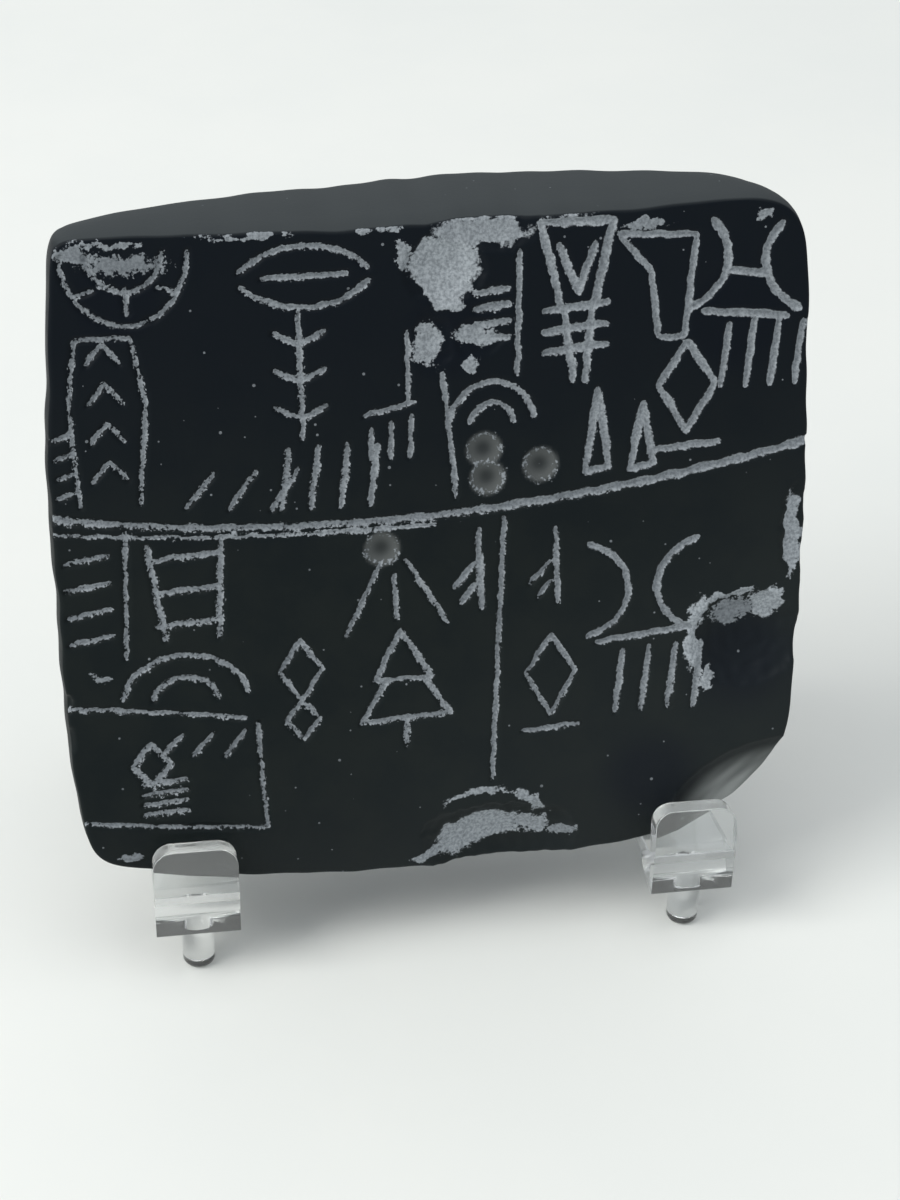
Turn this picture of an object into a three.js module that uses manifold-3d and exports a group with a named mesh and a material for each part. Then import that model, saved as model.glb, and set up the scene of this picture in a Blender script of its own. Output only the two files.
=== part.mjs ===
// A square slab tablet, cast in one piece, standing in a clear moulded display stand.
//
// Row frame: +Z up, X across the tablet, the carved face looks towards -Y.
// The origin is on the table, under the middle of the whole object.
// The tablet's own frame: x across, y backwards from the face, z up the face, origin mid face.

import * as THREE from 'three';
import * as BufferGeometryUtils from 'three/addons/utils/BufferGeometryUtils.js';
import Module from 'manifold-3d';

const wasm = await Module();
wasm.setup();

// ---------------------------------------------------------------- driving dimensions, mm

const LEAN = THREE.MathUtils.degToRad(15);
const GAP = 0.3;

// Tablet outline: half width, half height, and how square each corner is
const HALF_WIDTH = 47;
const HALF_HEIGHT = 43.3;
const CORNER = { topRight: 15, topLeft: 40, bottomLeft: 17, bottomRight: 5.7 };
const TOP_TILT = 0.014;
const TOP_HOLLOW = 1.2;
const BOTTOM_SAG = 4.8;
const BOTTOM_DROP = 0.6;

// Each side bellies out by some mm at one level and draws in towards its ends
const BOW = {
  left: { out: 0.45, level: -3, drawnIn: 2 },
  right: { out: 0.65, level: 7, drawnIn: 1.4 },
};

// Tablet faces: a flat front, a rolled lower edge and a pillowed back
const ROLL = { start: 30, depth: 2.4 };
const THICKNESS = { middle: 23, lostAtSides: 11.5, lostAtEnds: 2 };
const TOP_RISE = { middle: 2.7, slope: 0.02, halfWidth: 46, squareness: 5 };
const SIDE_BULGE = 0.4;
const FRONT_EDGE = 0.45;
const BACK_EDGE = 4.2;

// Grooves: the sides of every cut slope at 45 degrees, so a cut is twice as wide as deep
const STROKE_DEPTH = 0.55;
const RULE_DEPTH = 0.7;
const DIMPLE = { radius: 2.4, depth: 0.8 };

// Display stand
const ARM_WIDTH = 11;
const ARM_OFFSET = 33;
const STAND_SHIFT = 0.5;
const LIP = { thickness: 3.0, height: 4.6, cornerRadius: 2.6 };
const CREASE_HEIGHT = 16.5;
const BLOCK = { bottom: 7.8, depth: 7.2, cornerRadius: 2.8 };
const LEDGE_THICKNESS = 2.4;
const UPRIGHT = { thickness: 3.2, top: 8, capDepth: 7.2 };
const STRUT_THICKNESS = 3.4;
const FOOT = { radius: 2.15, flatRadius: 1.25, roundHeight: 0.95, setBack: 3.4 };
const FOOT_SPAN = 52;
const TIE = { thickness: 3, height: 7, lowHeight: 4 };
const BEVEL = 0.5;

// Ruled lines on the face, each through the points named, as [x, z]
const RULES = [
  { depth: RULE_DEPTH, steps: 9, through: [[-48, 9], [-30, 6.9], [-6, 6], [16, 7.5], [32, 10.4], [48, 13.2]] },
  { depth: STROKE_DEPTH, steps: 1, through: [[1.2, 24.7], [2.7, 8.7]] },
  { depth: STROKE_DEPTH, steps: 1, through: [[-3.1, 30], [-3.1, 21.5]] },
  { depth: STROKE_DEPTH, steps: 1, through: [[10.9, 39.5], [10.5, 24]] },
  { depth: STROKE_DEPTH, steps: 1, through: [[8.7, 5.6], [6.8, -30.5]] },
  { depth: STROKE_DEPTH, steps: 1, through: [[-38.6, 6.8], [-39.4, -10]] },
  { depth: STROKE_DEPTH, steps: 2, through: [[-47.2, -16.3], [-36, -17.6], [-25, -19.2]] },
  { depth: STROKE_DEPTH, steps: 1, through: [[-23.4, -20], [-22.8, -35]] },
  { depth: STROKE_DEPTH, steps: 2, through: [[-46, -32.4], [-34, -34], [-23, -35]] },
];

// Marks pressed into the face: what each is made of, its middle and its size
const MARKS = [
  // upper register
  { form: 'bowl', x: -36.7, z: 37.3, w: 15.2, h: 9.4 },
  { form: 'lens', x: -15.4, z: 37.6, w: 15.4, h: 7.6 },
  { form: 'trough', x: 17.9, z: 32.7, w: 9, h: 20 },
  { form: 'bracket', x: 28, z: 34.3, w: 9.6, h: 13.2 },
  { form: 'basket', x: 39.2, z: 36, w: 10.6, h: 12.6 },
  { form: 'nested', x: -39.9, z: 20.8, w: 9.6, h: 21 },
  { form: 'branch', x: -16.3, z: 25.2, w: 6.2, h: 15.6 },
  { form: 'ribs', x: 7.4, z: 31.6, w: 4.2, h: 6 },
  { form: 'uprights', x: 41.4, z: 25.1, w: 9.4, h: 8.4 },
  { form: 'kite', x: 31.9, z: 20.1, w: 8.2, h: 13.8 },
  { form: 'comb', x: -5.5, z: 17.7, w: 6.2, h: 7 },
  { form: 'arches', x: 7.3, z: 20.5, w: 10.6, h: 5.6 },
  { form: 'wedges', x: 23.3, z: 16.2, w: 9.2, h: 10.6 },
  { form: 'slants', x: -23.4, z: 11.1, w: 10.4, h: 5.6 },
  { form: 'uprights', x: -13.1, z: 12.4, w: 11, h: 8 },
  { form: 'ribs', x: -45.4, z: 15.5, w: 2, h: 7.4 },
  // lower register
  { form: 'ribs', x: -43.6, z: -2, w: 5.4, h: 10.6 },
  { form: 'ladder', x: -31.5, z: -1.6, w: 9.2, h: 12.6 },
  { form: 'rays', x: -5.2, z: -4.2, w: 13, h: 9.8 },
  { form: 'twig', x: 4.5, z: -1.1, w: 4.4, h: 10.6 },
  { form: 'twig', x: 14.3, z: -1.4, w: 4.8, h: 10 },
  { form: 'waist', x: 26.6, z: -5.9, w: 12, h: 14.4 },
  { form: 'arches', x: -32.3, z: -13.2, w: 16, h: 6.4 },
  { form: 'chain', x: -17.6, z: -16.6, w: 5.4, h: 15 },
  { form: 'tree', x: -4.3, z: -16.8, w: 11.6, h: 16 },
  { form: 'kite', x: 14.6, z: -17.4, w: 7.4, h: 13.4 },
  { form: 'uprights', x: 28.8, z: -17.7, w: 10.4, h: 9 },
  { form: 'lozenge', x: -37.1, z: -24.9, w: 4.8, h: 6 },
  { form: 'slants', x: -30, z: -22.6, w: 8, h: 3.6 },
  { form: 'ribs', x: -35.6, z: -29.6, w: 5.6, h: 4.4 },
];

// Round pressed pits
const PITS = [
  { x: 6.2, z: 14.6 },
  { x: 6.6, z: 10.9 },
  { x: 13.3, z: 12.2 },
  { x: -6.9, z: 2.4 },
];

// Breaks: shallow scoops, as wide and high as named, and as deep as they reach.
// A tilt, in degrees, turns the width from across towards up.
const BREAKS = [
  { x: 1.7, z: 37.6, w: 11, h: 9, deep: 1.2 },
  { x: 7, z: 42.6, w: 15, h: 6.4, deep: 1 },
  { x: 0, z: 28.6, w: 5.4, h: 9, deep: 0.6 },
  { x: 5.8, z: 29, w: 7.4, h: 5, deep: 0.5 },
  { x: 40.4, z: -13.2, w: 15.5, h: 13.6, deep: 1.9 },
  { x: 46.6, z: 1, w: 4.4, h: 14, deep: 0.9 },
  { x: 8, z: -42, w: 20, h: 13, deep: 2.6 },
  { x: 1.6, z: -38.5, w: 8, h: 5.6, deep: 1.1 },
  { x: 13, z: -39, w: 9, h: 7, deep: 1.6 },
  { x: 43, z: -38, w: 26, h: 17.6, deep: 2.8, tilt: 20 },
  { x: -47.6, z: -15.4, w: 2.4, h: 3.4, deep: 2 },
  { x: -47.4, z: -20.6, w: 1.8, h: 5, deep: 1.6 },
];

// ---------------------------------------------------------------- solids

// A closed three.js geometry as a manifold solid
function solidOf(geometry) {
  const bare = geometry.clone();
  bare.deleteAttribute('normal');
  bare.deleteAttribute('uv');
  const merged = BufferGeometryUtils.mergeVertices(bare, 1e-4);
  return new wasm.Manifold(new wasm.Mesh({
    numProp: 3,
    vertProperties: new Float32Array(merged.attributes.position.array),
    triVerts: new Uint32Array(merged.index.array),
  }));
}

function geometryOf(solid) {
  const mesh = solid.getMesh();
  const geometry = new THREE.BufferGeometry();
  geometry.setAttribute('position', new THREE.BufferAttribute(mesh.vertProperties, 3));
  geometry.setIndex(new THREE.BufferAttribute(mesh.triVerts, 1));
  return geometry;
}

function joined(solids) {
  return solids.reduce((whole, next) => whole.add(next));
}

function clampUnit(value) {
  return Math.min(1, Math.max(0, value));
}

// ---------------------------------------------------------------- tablet form

// The edge of the face in a direction from its middle: a squared oval whose corners differ
function rimPoint(angle) {
  const across = Math.cos(angle);
  const up = Math.sin(angle);
  const side = across > 0 ? 'Right' : 'Left';
  const squareness = CORNER[(up > 0 ? 'top' : 'bottom') + side];
  const sum = Math.abs(across / HALF_WIDTH) ** squareness + Math.abs(up / HALF_HEIGHT) ** squareness;
  const reach = sum ** (-1 / squareness);
  const x = reach * across;
  const z = reach * up;
  const end = (z / HALF_HEIGHT) ** 4;
  const wide = (x / HALF_WIDTH) ** 2;
  const shift = z > 0 ? TOP_TILT * x + TOP_HOLLOW * wide : BOTTOM_SAG * wide - BOTTOM_DROP;
  const bow = across > 0 ? BOW.right : BOW.left;
  const out = bow.out - bow.drawnIn * ((z - bow.level) / HALF_HEIGHT) ** 2;
  return { x: x * (1 + out / HALF_WIDTH), z: z + end * shift };
}

// How far back the front face lies at a height: it is flat, and rolls away near its lower edge
function frontDepth(z) {
  return ROLL.depth * clampUnit((-z - ROLL.start) / (HALF_HEIGHT - ROLL.start)) ** 2;
}

function backDepth(x, z) {
  const sides = THICKNESS.lostAtSides * (x / HALF_WIDTH) ** 2;
  const ends = THICKNESS.lostAtEnds * (z / HALF_HEIGHT) ** 2;
  return THICKNESS.middle - sides - ends;
}

// How much higher the top's rear edge would be than its front edge at full thickness
function topRise(x) {
  const left = 1 - clampUnit(Math.abs(x) / TOP_RISE.halfWidth) ** TOP_RISE.squareness;
  return (TOP_RISE.middle + TOP_RISE.slope * x) * left;
}

// Rings from the middle of the face, over the rim and round to the middle of the back.
// reach: share of the rim. inset: mm inside it. through: share of the thickness, from the face.
const RINGS = [
  { reach: 0, through: 0 },
  { reach: 0.4, through: 0 },
  { reach: 0.7, through: 0 },
  { reach: 0.88, through: 0 },
  { inset: FRONT_EDGE, through: 0 },
  { inset: 0, below: FRONT_EDGE },
  { inset: -SIDE_BULGE, through: 0.45 },
  { inset: 0, above: BACK_EDGE },
  { inset: 0.3 * BACK_EDGE, above: 0.3 * BACK_EDGE },
  { inset: BACK_EDGE, through: 1 },
  { reach: 0.75, through: 1 },
  { reach: 0.45, through: 1 },
  { reach: 0, through: 1 },
];

// Steps round the rim, closer together at the corners of the square that it fills
const RIM_STEPS = 72;

function rimAngle(step) {
  const sideSteps = RIM_STEPS / 4;
  const side = Math.floor(step / sideSteps);
  const along = Math.sin(((step % sideSteps) / sideSteps - 0.5) * Math.PI);
  const upright = side % 2 === 1;
  const [own, other] = upright ? [HALF_HEIGHT, HALF_WIDTH] : [HALF_WIDTH, HALF_HEIGHT];
  return side * (Math.PI / 2) + Math.atan2(other * along, own);
}

function slabPoint(step, ring) {
  const rim = rimPoint(rimAngle(step % RIM_STEPS));
  const size = Math.hypot(rim.x, rim.z);
  const reach = ring.reach ?? 1 - ring.inset / size;
  const x = rim.x * reach;
  const z = rim.z * reach;
  const front = frontDepth(z);
  const back = backDepth(x, z);
  let depth = front + (ring.through ?? 0) * (back - front);
  if (ring.below !== undefined) depth = front + ring.below;
  if (ring.above !== undefined) depth = back - ring.above;
  const share = clampUnit(depth / THICKNESS.middle) * clampUnit(z / HALF_HEIGHT) ** 4;
  return new THREE.Vector3(x, depth, z + share * topRise(x));
}

// A sphere's rows and columns carry the slab: its poles are the middles of the two faces
function slabSolid() {
  const geometry = new THREE.SphereGeometry(1, RIM_STEPS, RINGS.length - 1);
  const { position, uv } = geometry.attributes;
  for (let i = 0; i < position.count; i += 1) {
    const row = Math.round((1 - uv.getY(i)) * (RINGS.length - 1));
    const column = Math.floor(uv.getX(i) * RIM_STEPS + 0.25);
    const place = slabPoint(column, RINGS[row]);
    position.setXYZ(i, place.x, place.y, place.z);
  }
  return solidOf(geometry);
}

// ---------------------------------------------------------------- marks on the face

// Every form fills a square from -0.5 to 0.5 with lines, each a list of [across, up]

function arcLine(centre, radius, from, to, steps) {
  const turn = THREE.MathUtils.degToRad(to - from) / steps;
  const start = THREE.MathUtils.degToRad(from);
  return Array.from({ length: steps + 1 }, (_, i) => {
    const angle = start + turn * i;
    return [centre[0] + radius[0] * Math.cos(angle), centre[1] + radius[1] * Math.sin(angle)];
  });
}

// Straight lines side by side, from one edge of the square to the other
function spread(count, lineAt) {
  return Array.from({ length: count }, (_, i) => lineAt(count === 1 ? 0 : i / (count - 1) - 0.5));
}

const FORMS = {
  uprights: () => spread(4, (t) => [[t + 0.05, 0.5 - 0.1 * Math.abs(t)], [t - 0.05, -0.5]]),
  ribs: () => spread(4, (t) => [[-0.5, t - 0.03], [0.5, t + 0.05]]),
  slants: () => spread(3, (t) => [[t - 0.22, -0.4 - t * 0.2], [t + 0.12, 0.45]]),
  bowl: () => [
    arcLine([0, 0.45], [0.5, 0.95], 180, 360, 6),
    arcLine([0, 0.45], [0.3, 0.5], 180, 360, 4),
    ...spread(3, (t) => [[t * 0.5, 0], [t * 0.8, -0.34 + 0.5 * Math.abs(t)]]),
  ],
  lens: () => [
    arcLine([0, -0.45], [0.62, 0.95], 36, 144, 6),
    arcLine([0, 0.45], [0.62, 0.95], 216, 324, 6),
    [[-0.34, 0], [0.34, 0.02]],
  ],
  trough: () => [
    [[-0.5, 0.5], [-0.16, -0.1], [-0.04, -0.5]],
    [[0.5, 0.5], [0.2, -0.1], [0.12, -0.5]],
    [[-0.5, 0.5], [0.5, 0.5]],
    [[-0.24, 0.36], [0.02, 0.06], [0.26, 0.36]],
    ...spread(3, (t) => [[-0.45, t * 0.26 - 0.18], [0.42, t * 0.26 - 0.14]]),
  ],
  bracket: () => [
    [[-0.5, 0.5], [0.5, 0.46], [0.36, -0.5]],
    [[-0.5, 0.5], [-0.08, 0.12], [0.02, -0.5]],
    [[0.02, -0.5], [0.36, -0.5]],
  ],
  basket: () => [
    arcLine([-1.02, 0.12], [0.8, 0.56], -62, 40, 4),
    arcLine([1.02, 0.06], [0.8, 0.56], 140, 242, 4),
    [[-0.5, -0.42], [0.5, -0.5]],
    [[-0.22, -0.02], [0.24, -0.08]],
  ],
  nested: () => [
    [[-0.4, -0.5], [-0.46, 0.1], [-0.34, 0.5]],
    [[0.36, -0.5], [0.5, 0.1], [0.36, 0.5]],
    [[-0.34, 0.5], [0.36, 0.5]],
    ...spread(4, (t) => [[-0.22, t * 0.7], [0, t * 0.7 + 0.12], [0.22, t * 0.7]]),
  ],
  branch: () => [
    [[0, 0.5], [0.02, -0.5]],
    ...spread(3, (t) => [[-0.5, t * 0.6 + 0.06], [0, t * 0.6 - 0.04], [0.5, t * 0.6 + 0.06]]),
  ],
  twig: () => [
    [[0.2, 0.5], [0.26, -0.5]],
    [[-0.5, -0.22], [0.06, 0.06]],
    [[-0.3, -0.42], [0.06, -0.2]],
  ],
  comb: () => [
    [[-0.5, 0.3], [0.5, 0.5]],
    ...spread(3, (t) => [[t * 0.8 + 0.04, 0.16 + t * 0.2], [t * 0.8, -0.5]]),
  ],
  kite: () => [
    [[0, 0.5], [0.44, 0.1], [0, -0.34], [-0.44, 0.1], [0, 0.5]],
    [[-0.5, -0.5], [0.5, -0.46]],
  ],
  lozenge: () => [[[0, 0.5], [0.5, 0], [0, -0.5], [-0.5, 0], [0, 0.5]]],
  chain: () => [
    [[0, 0.5], [0.5, 0.22], [0, -0.06], [-0.5, 0.22], [0, 0.5]],
    [[0, -0.06], [0.4, -0.24], [0, -0.42], [-0.4, -0.24], [0, -0.06]],
  ],
  arches: () => [
    arcLine([0, -0.5], [0.5, 1], 8, 172, 6),
    arcLine([0, -0.5], [0.26, 0.52], 8, 172, 4),
  ],
  wedges: () => spread(2, (t) => [
    [t * 0.62 - 0.16, -0.5],
    [t * 0.62 + 0.02, 0.4 - t * 0.2],
    [t * 0.62 + 0.18, -0.46],
    [t * 0.62 - 0.16, -0.5],
  ]),
  ladder: () => [
    [[-0.5, 0.5], [-0.3, -0.5]],
    [[0.5, 0.5], [0.42, -0.5]],
    ...spread(3, (t) => [[-0.42, t * 0.7], [0.44, t * 0.7 + 0.04]]),
  ],
  rays: () => [
    [[-0.14, 0.5], [-0.5, -0.5]],
    [[-0.02, 0.3], [0, -0.3]],
    [[0.1, 0.5], [0.5, -0.4]],
  ],
  tree: () => [
    [[-0.04, 0.5], [-0.34, 0.08], [0.3, 0.08], [-0.04, 0.5]],
    [[-0.2, 0.08], [-0.5, -0.28], [0.5, -0.24], [0.2, 0.08]],
    [[0, -0.26], [0, -0.5]],
  ],
  waist: () => [
    arcLine([-0.75, 0.05], [0.6, 0.45], -75, 75, 5),
    arcLine([0.75, 0.05], [0.6, 0.45], 105, 255, 5),
    [[-0.5, -0.44], [0.5, -0.36]],
  ],
};

// One straight groove with sloping sides, cut to a depth below the face
function groove(from, to, depth) {
  const side = depth * Math.SQRT2;
  const [dx, dz] = [to[0] - from[0], to[1] - from[1]];
  const middle = [(from[0] + to[0]) / 2, (from[1] + to[1]) / 2];
  const bar = new THREE.BoxGeometry(Math.hypot(dx, dz) + depth, side, side);
  bar.rotateX(Math.PI / 4);
  bar.rotateY(-Math.atan2(dz, dx));
  bar.translate(middle[0], frontDepth(middle[1]), middle[1]);
  return solidOf(bar);
}

function grooves(line, depth) {
  return line.slice(1).map((point, i) => groove(line[i], point, depth));
}

function ruleGrooves(rule) {
  const curve = new THREE.SplineCurve(rule.through.map(([x, z]) => new THREE.Vector2(x, z)));
  return grooves(curve.getPoints(rule.steps).map((point) => [point.x, point.y]), rule.depth);
}

function markGrooves(mark) {
  const place = ([across, up]) => [mark.x + across * mark.w, mark.z + up * mark.h];
  return FORMS[mark.form]().flatMap((line) => grooves(line.map(place), STROKE_DEPTH));
}

// A ball that cuts a round scoop of the size and depth named
function scoop({ x, z, w, h, deep, tilt = 0 }, columns) {
  const ball = new THREE.SphereGeometry(1, columns, columns / 2);
  const flatness = 4 * deep;
  const rimShare = Math.sqrt(1 - (1 - deep / flatness) ** 2);
  ball.scale(w / 2 / rimShare, flatness, h / 2 / rimShare);
  ball.rotateY(-THREE.MathUtils.degToRad(tilt));
  ball.translate(x, frontDepth(z) + deep - flatness, z);
  return solidOf(ball);
}

function pit({ x, z }) {
  const size = 2 * DIMPLE.radius;
  return scoop({ x, z, w: size, h: size, deep: DIMPLE.depth }, 12);
}

function tabletGeometry() {
  const cuts = [
    ...BREAKS.map((place) => scoop(place, 12)),
    ...PITS.map(pit),
    ...RULES.flatMap(ruleGrooves),
    ...MARKS.flatMap(markGrooves),
  ];
  return geometryOf(cuts.reduce((left, cut) => left.subtract(cut), slabSolid()));
}

// ---------------------------------------------------------------- display stand

// Levels measured up the face from its middle, and distances back from it
const LIP_BACK = -GAP;
const LIP_FRONT = -GAP - LIP.thickness;
const CREASE_LEVEL = -40.5;
const LIP_TOP = CREASE_LEVEL + LIP.height;
const ARM_INNER = ARM_OFFSET - STAND_SHIFT - ARM_WIDTH / 2;
const FOOT_SAG = BOTTOM_SAG * (ARM_INNER / HALF_WIDTH) ** 2 - BOTTOM_DROP;
const TABLET_FOOT = FOOT_SAG - HALF_HEIGHT - SIDE_BULGE;
const LEDGE_TOP = TABLET_FOOT - GAP;
const LEDGE_UNDER = LEDGE_TOP - LEDGE_THICKNESS;
const POCKET = backDepth(ARM_INNER, 0) + GAP;
const FRONT = -FOOT_SPAN / 2;
const REAR = FOOT_SPAN / 2;

// Middle of the tablet's face, placed so that the crease under each lip is the frontmost line
const FACE_Y = FRONT - CREASE_LEVEL * Math.sin(LEAN) - LIP_FRONT * Math.cos(LEAN);
const FACE_Z = CREASE_HEIGHT - CREASE_LEVEL * Math.cos(LEAN) + LIP_FRONT * Math.sin(LEAN);

// Row y and z of a point so far back from the face's middle and so far up it
function leaned(back, up) {
  return [
    FACE_Y + up * Math.sin(LEAN) + back * Math.cos(LEAN),
    FACE_Z + up * Math.cos(LEAN) - back * Math.sin(LEAN),
  ];
}

function shapeOf(points) {
  return new THREE.Shape(points.map(([a, b]) => new THREE.Vector2(a, b)));
}

// A side profile in y and z as a plate across x, centred, its edges slightly rounded
function sidePlate(shape, width) {
  const plate = new THREE.ExtrudeGeometry(shape, {
    depth: width - 2 * BEVEL,
    bevelThickness: BEVEL,
    bevelSize: BEVEL,
    bevelOffset: -BEVEL,
    bevelSegments: 1,
    curveSegments: 6,
  });
  plate.translate(0, 0, BEVEL - width / 2);
  const across = new THREE.Vector3(1, 0, 0);
  const back = new THREE.Vector3(0, 1, 0);
  const up = new THREE.Vector3(0, 0, 1);
  plate.applyMatrix4(new THREE.Matrix4().makeBasis(back, up, across));
  return solidOf(plate);
}

// The block on its foot, with the lip that stops the tablet from sliding forward
function hookShape() {
  const blockBack = FRONT + BLOCK.depth;
  const [, ledgeHeight] = leaned(BLOCK.depth / 2, LEDGE_TOP);
  const shape = shapeOf([
    [FRONT, BLOCK.bottom],
    [FRONT, CREASE_HEIGHT],
    leaned(LIP_FRONT, LIP_TOP),
    leaned(LIP_BACK, LIP_TOP),
    leaned(LIP_BACK, LEDGE_TOP),
    [blockBack, ledgeHeight],
    [blockBack, BLOCK.bottom + BLOCK.cornerRadius],
  ]);
  const centreY = blockBack - BLOCK.cornerRadius;
  shape.absarc(centreY, BLOCK.bottom + BLOCK.cornerRadius, BLOCK.cornerRadius, 0, -Math.PI / 2, true);
  return shape;
}

// The lip's outline seen square on, with its two round upper corners
function lipMask() {
  const half = ARM_WIDTH / 2;
  const round = LIP.cornerRadius;
  const shape = new THREE.Shape();
  shape.moveTo(-half, LIP_TOP - 4 * LIP.height);
  shape.lineTo(half, LIP_TOP - 4 * LIP.height);
  shape.absarc(half - round, LIP_TOP - round, round, 0, Math.PI / 2, false);
  shape.absarc(round - half, LIP_TOP - round, round, Math.PI / 2, Math.PI, false);
  const mask = new THREE.ExtrudeGeometry(shape, {
    depth: FOOT_SPAN, bevelEnabled: false, curveSegments: 6,
  });
  mask.translate(0, 0, -FOOT_SPAN / 2);
  mask.rotateX(Math.PI / 2 - LEAN);
  mask.translate(0, FACE_Y, FACE_Z);
  return solidOf(mask);
}

// Ledge, upright behind the tablet and strut down to the rear foot, in one bent bar
function armShape() {
  const uprightBack = POCKET + UPRIGHT.thickness;
  const strutY = REAR - BEVEL;
  return shapeOf([
    leaned(1, LEDGE_TOP),
    leaned(POCKET, LEDGE_TOP),
    leaned(POCKET, UPRIGHT.top),
    leaned(POCKET + UPRIGHT.capDepth, UPRIGHT.top),
    [strutY, BLOCK.bottom + TIE.lowHeight],
    [strutY - STRUT_THICKNESS, BLOCK.bottom + TIE.lowHeight],
    leaned(uprightBack, UPRIGHT.top - 2 * UPRIGHT.thickness),
    leaned(uprightBack, LEDGE_UNDER),
    leaned(1, LEDGE_UNDER),
  ]);
}

function rearBlockShape() {
  const top = BLOCK.bottom + TIE.lowHeight + 1;
  return shapeOf([
    [REAR, BLOCK.bottom],
    [REAR, top],
    [REAR - BLOCK.depth, top],
    [REAR - BLOCK.depth, BLOCK.bottom],
  ]);
}

// A round peg standing on a small flat, its lower edge rounded, sunk a little into its block
function foot(y) {
  const shoulder = FOOT.radius - FOOT.flatRadius;
  const profile = [new THREE.Vector2(0, 0)];
  for (const turn of [0, 30, 60, 90]) {
    const angle = THREE.MathUtils.degToRad(turn);
    profile.push(new THREE.Vector2(
      FOOT.flatRadius + shoulder * Math.sin(angle),
      FOOT.roundHeight * (1 - Math.cos(angle)),
    ));
  }
  profile.push(new THREE.Vector2(FOOT.radius, BLOCK.bottom + 1), new THREE.Vector2(0, BLOCK.bottom + 1));
  const peg = new THREE.LatheGeometry(profile, 16);
  peg.rotateX(Math.PI / 2);
  peg.translate(0, y, 0);
  return solidOf(peg);
}

function arm() {
  return joined([
    sidePlate(hookShape(), ARM_WIDTH).intersect(lipMask()),
    sidePlate(armShape(), ARM_WIDTH),
    sidePlate(rearBlockShape(), ARM_WIDTH),
    foot(FRONT + FOOT.setBack),
    foot(REAR - BLOCK.depth / 2),
  ]);
}

// Bars that join the two arms, one behind the tablet and one low between the rear blocks
function ties() {
  const length = 2 * ARM_OFFSET - ARM_WIDTH + 2;
  const upperBack = POCKET + UPRIGHT.capDepth - 0.4;
  const upper = shapeOf([
    leaned(upperBack, UPRIGHT.top - 1),
    leaned(upperBack - TIE.thickness, UPRIGHT.top - 1),
    leaned(upperBack - TIE.thickness, UPRIGHT.top - TIE.height),
    leaned(upperBack, UPRIGHT.top - TIE.height),
  ]);
  const lowerBack = REAR - BLOCK.depth / 2 + TIE.thickness / 2;
  const lowerTop = BLOCK.bottom + TIE.lowHeight;
  const lower = shapeOf([
    [lowerBack, BLOCK.bottom + 0.6],
    [lowerBack, lowerTop],
    [lowerBack - TIE.thickness, lowerTop],
    [lowerBack - TIE.thickness, BLOCK.bottom + 0.6],
  ]);
  return [sidePlate(upper, length), sidePlate(lower, length)];
}

function standGeometry() {
  const arms = [-ARM_OFFSET, ARM_OFFSET].map((x) => arm().translate([x, 0, 0]));
  return geometryOf(joined([...arms, ...ties()]));
}

// ---------------------------------------------------------------- the object

const tabletMaterial = new THREE.MeshStandardMaterial({ color: 0x24282b, roughness: 0.55, metalness: 0 });
const standMaterial = new THREE.MeshStandardMaterial({
  color: 0xe8ecec, roughness: 0.08, metalness: 0, transparent: true, opacity: 0.35,
});

const tablet = new THREE.Mesh(tabletGeometry(), tabletMaterial);
tablet.name = 'tablet';
tablet.position.set(0, FACE_Y, FACE_Z);
tablet.rotation.x = -LEAN;

const displayStand = new THREE.Mesh(standGeometry(), standMaterial);
displayStand.name = 'display_stand';
displayStand.position.x = STAND_SHIFT;

const tabletOnStand = new THREE.Group();
tabletOnStand.add(tablet, displayStand);

export default tabletOnStand;
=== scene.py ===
"""A square cuneiform tablet, cast in satin black and rubbed with chalk, on a clear moulded stand.

Sizes are in millimetres unless a comment says otherwise. The tablet has a frame of its own: x runs
across the face, y back from it and z up it, with the origin in the middle of the face. The stand
is drawn in the row frame: +Z up, X across, the face towards -Y, the origin on the table. Every
mesh is written in metres in the row frame, and its object stays at the origin.
"""

import logging
import math
from collections.abc import Callable, Iterable, Sequence
from dataclasses import dataclass, field
from enum import Enum

import bmesh
import bpy
import numpy as np
from mathutils import Matrix, Vector, noise


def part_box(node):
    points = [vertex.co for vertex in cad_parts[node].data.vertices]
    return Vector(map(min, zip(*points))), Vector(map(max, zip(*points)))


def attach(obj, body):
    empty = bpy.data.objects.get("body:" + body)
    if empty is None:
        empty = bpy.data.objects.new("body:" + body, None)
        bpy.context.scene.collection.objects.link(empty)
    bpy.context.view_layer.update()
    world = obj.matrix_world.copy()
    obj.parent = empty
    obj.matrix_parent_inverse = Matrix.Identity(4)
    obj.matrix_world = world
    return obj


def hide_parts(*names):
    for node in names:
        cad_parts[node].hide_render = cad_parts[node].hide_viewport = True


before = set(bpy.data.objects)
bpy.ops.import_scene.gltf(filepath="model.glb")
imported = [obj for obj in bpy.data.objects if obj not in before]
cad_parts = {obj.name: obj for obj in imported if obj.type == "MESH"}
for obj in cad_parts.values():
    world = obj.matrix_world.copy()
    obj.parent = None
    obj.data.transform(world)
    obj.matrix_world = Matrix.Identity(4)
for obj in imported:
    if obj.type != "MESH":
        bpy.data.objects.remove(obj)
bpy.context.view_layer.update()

LOG = logging.getLogger("tablet")
MM = 0.001
BODY = "root"

Array = np.ndarray
Point = tuple[float, float]
Line = list[Point]
Place = tuple[float, float, float]
Colour = tuple[float, float, float, float]
Layers = dict[str, bmesh.types.BMLayerItem]


# ------------------------------------------------------------------ small helpers


def clamp_unit(value: Array) -> Array:
    """Limit values to the range from 0 to 1."""
    return np.clip(value, 0.0, 1.0)


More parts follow.
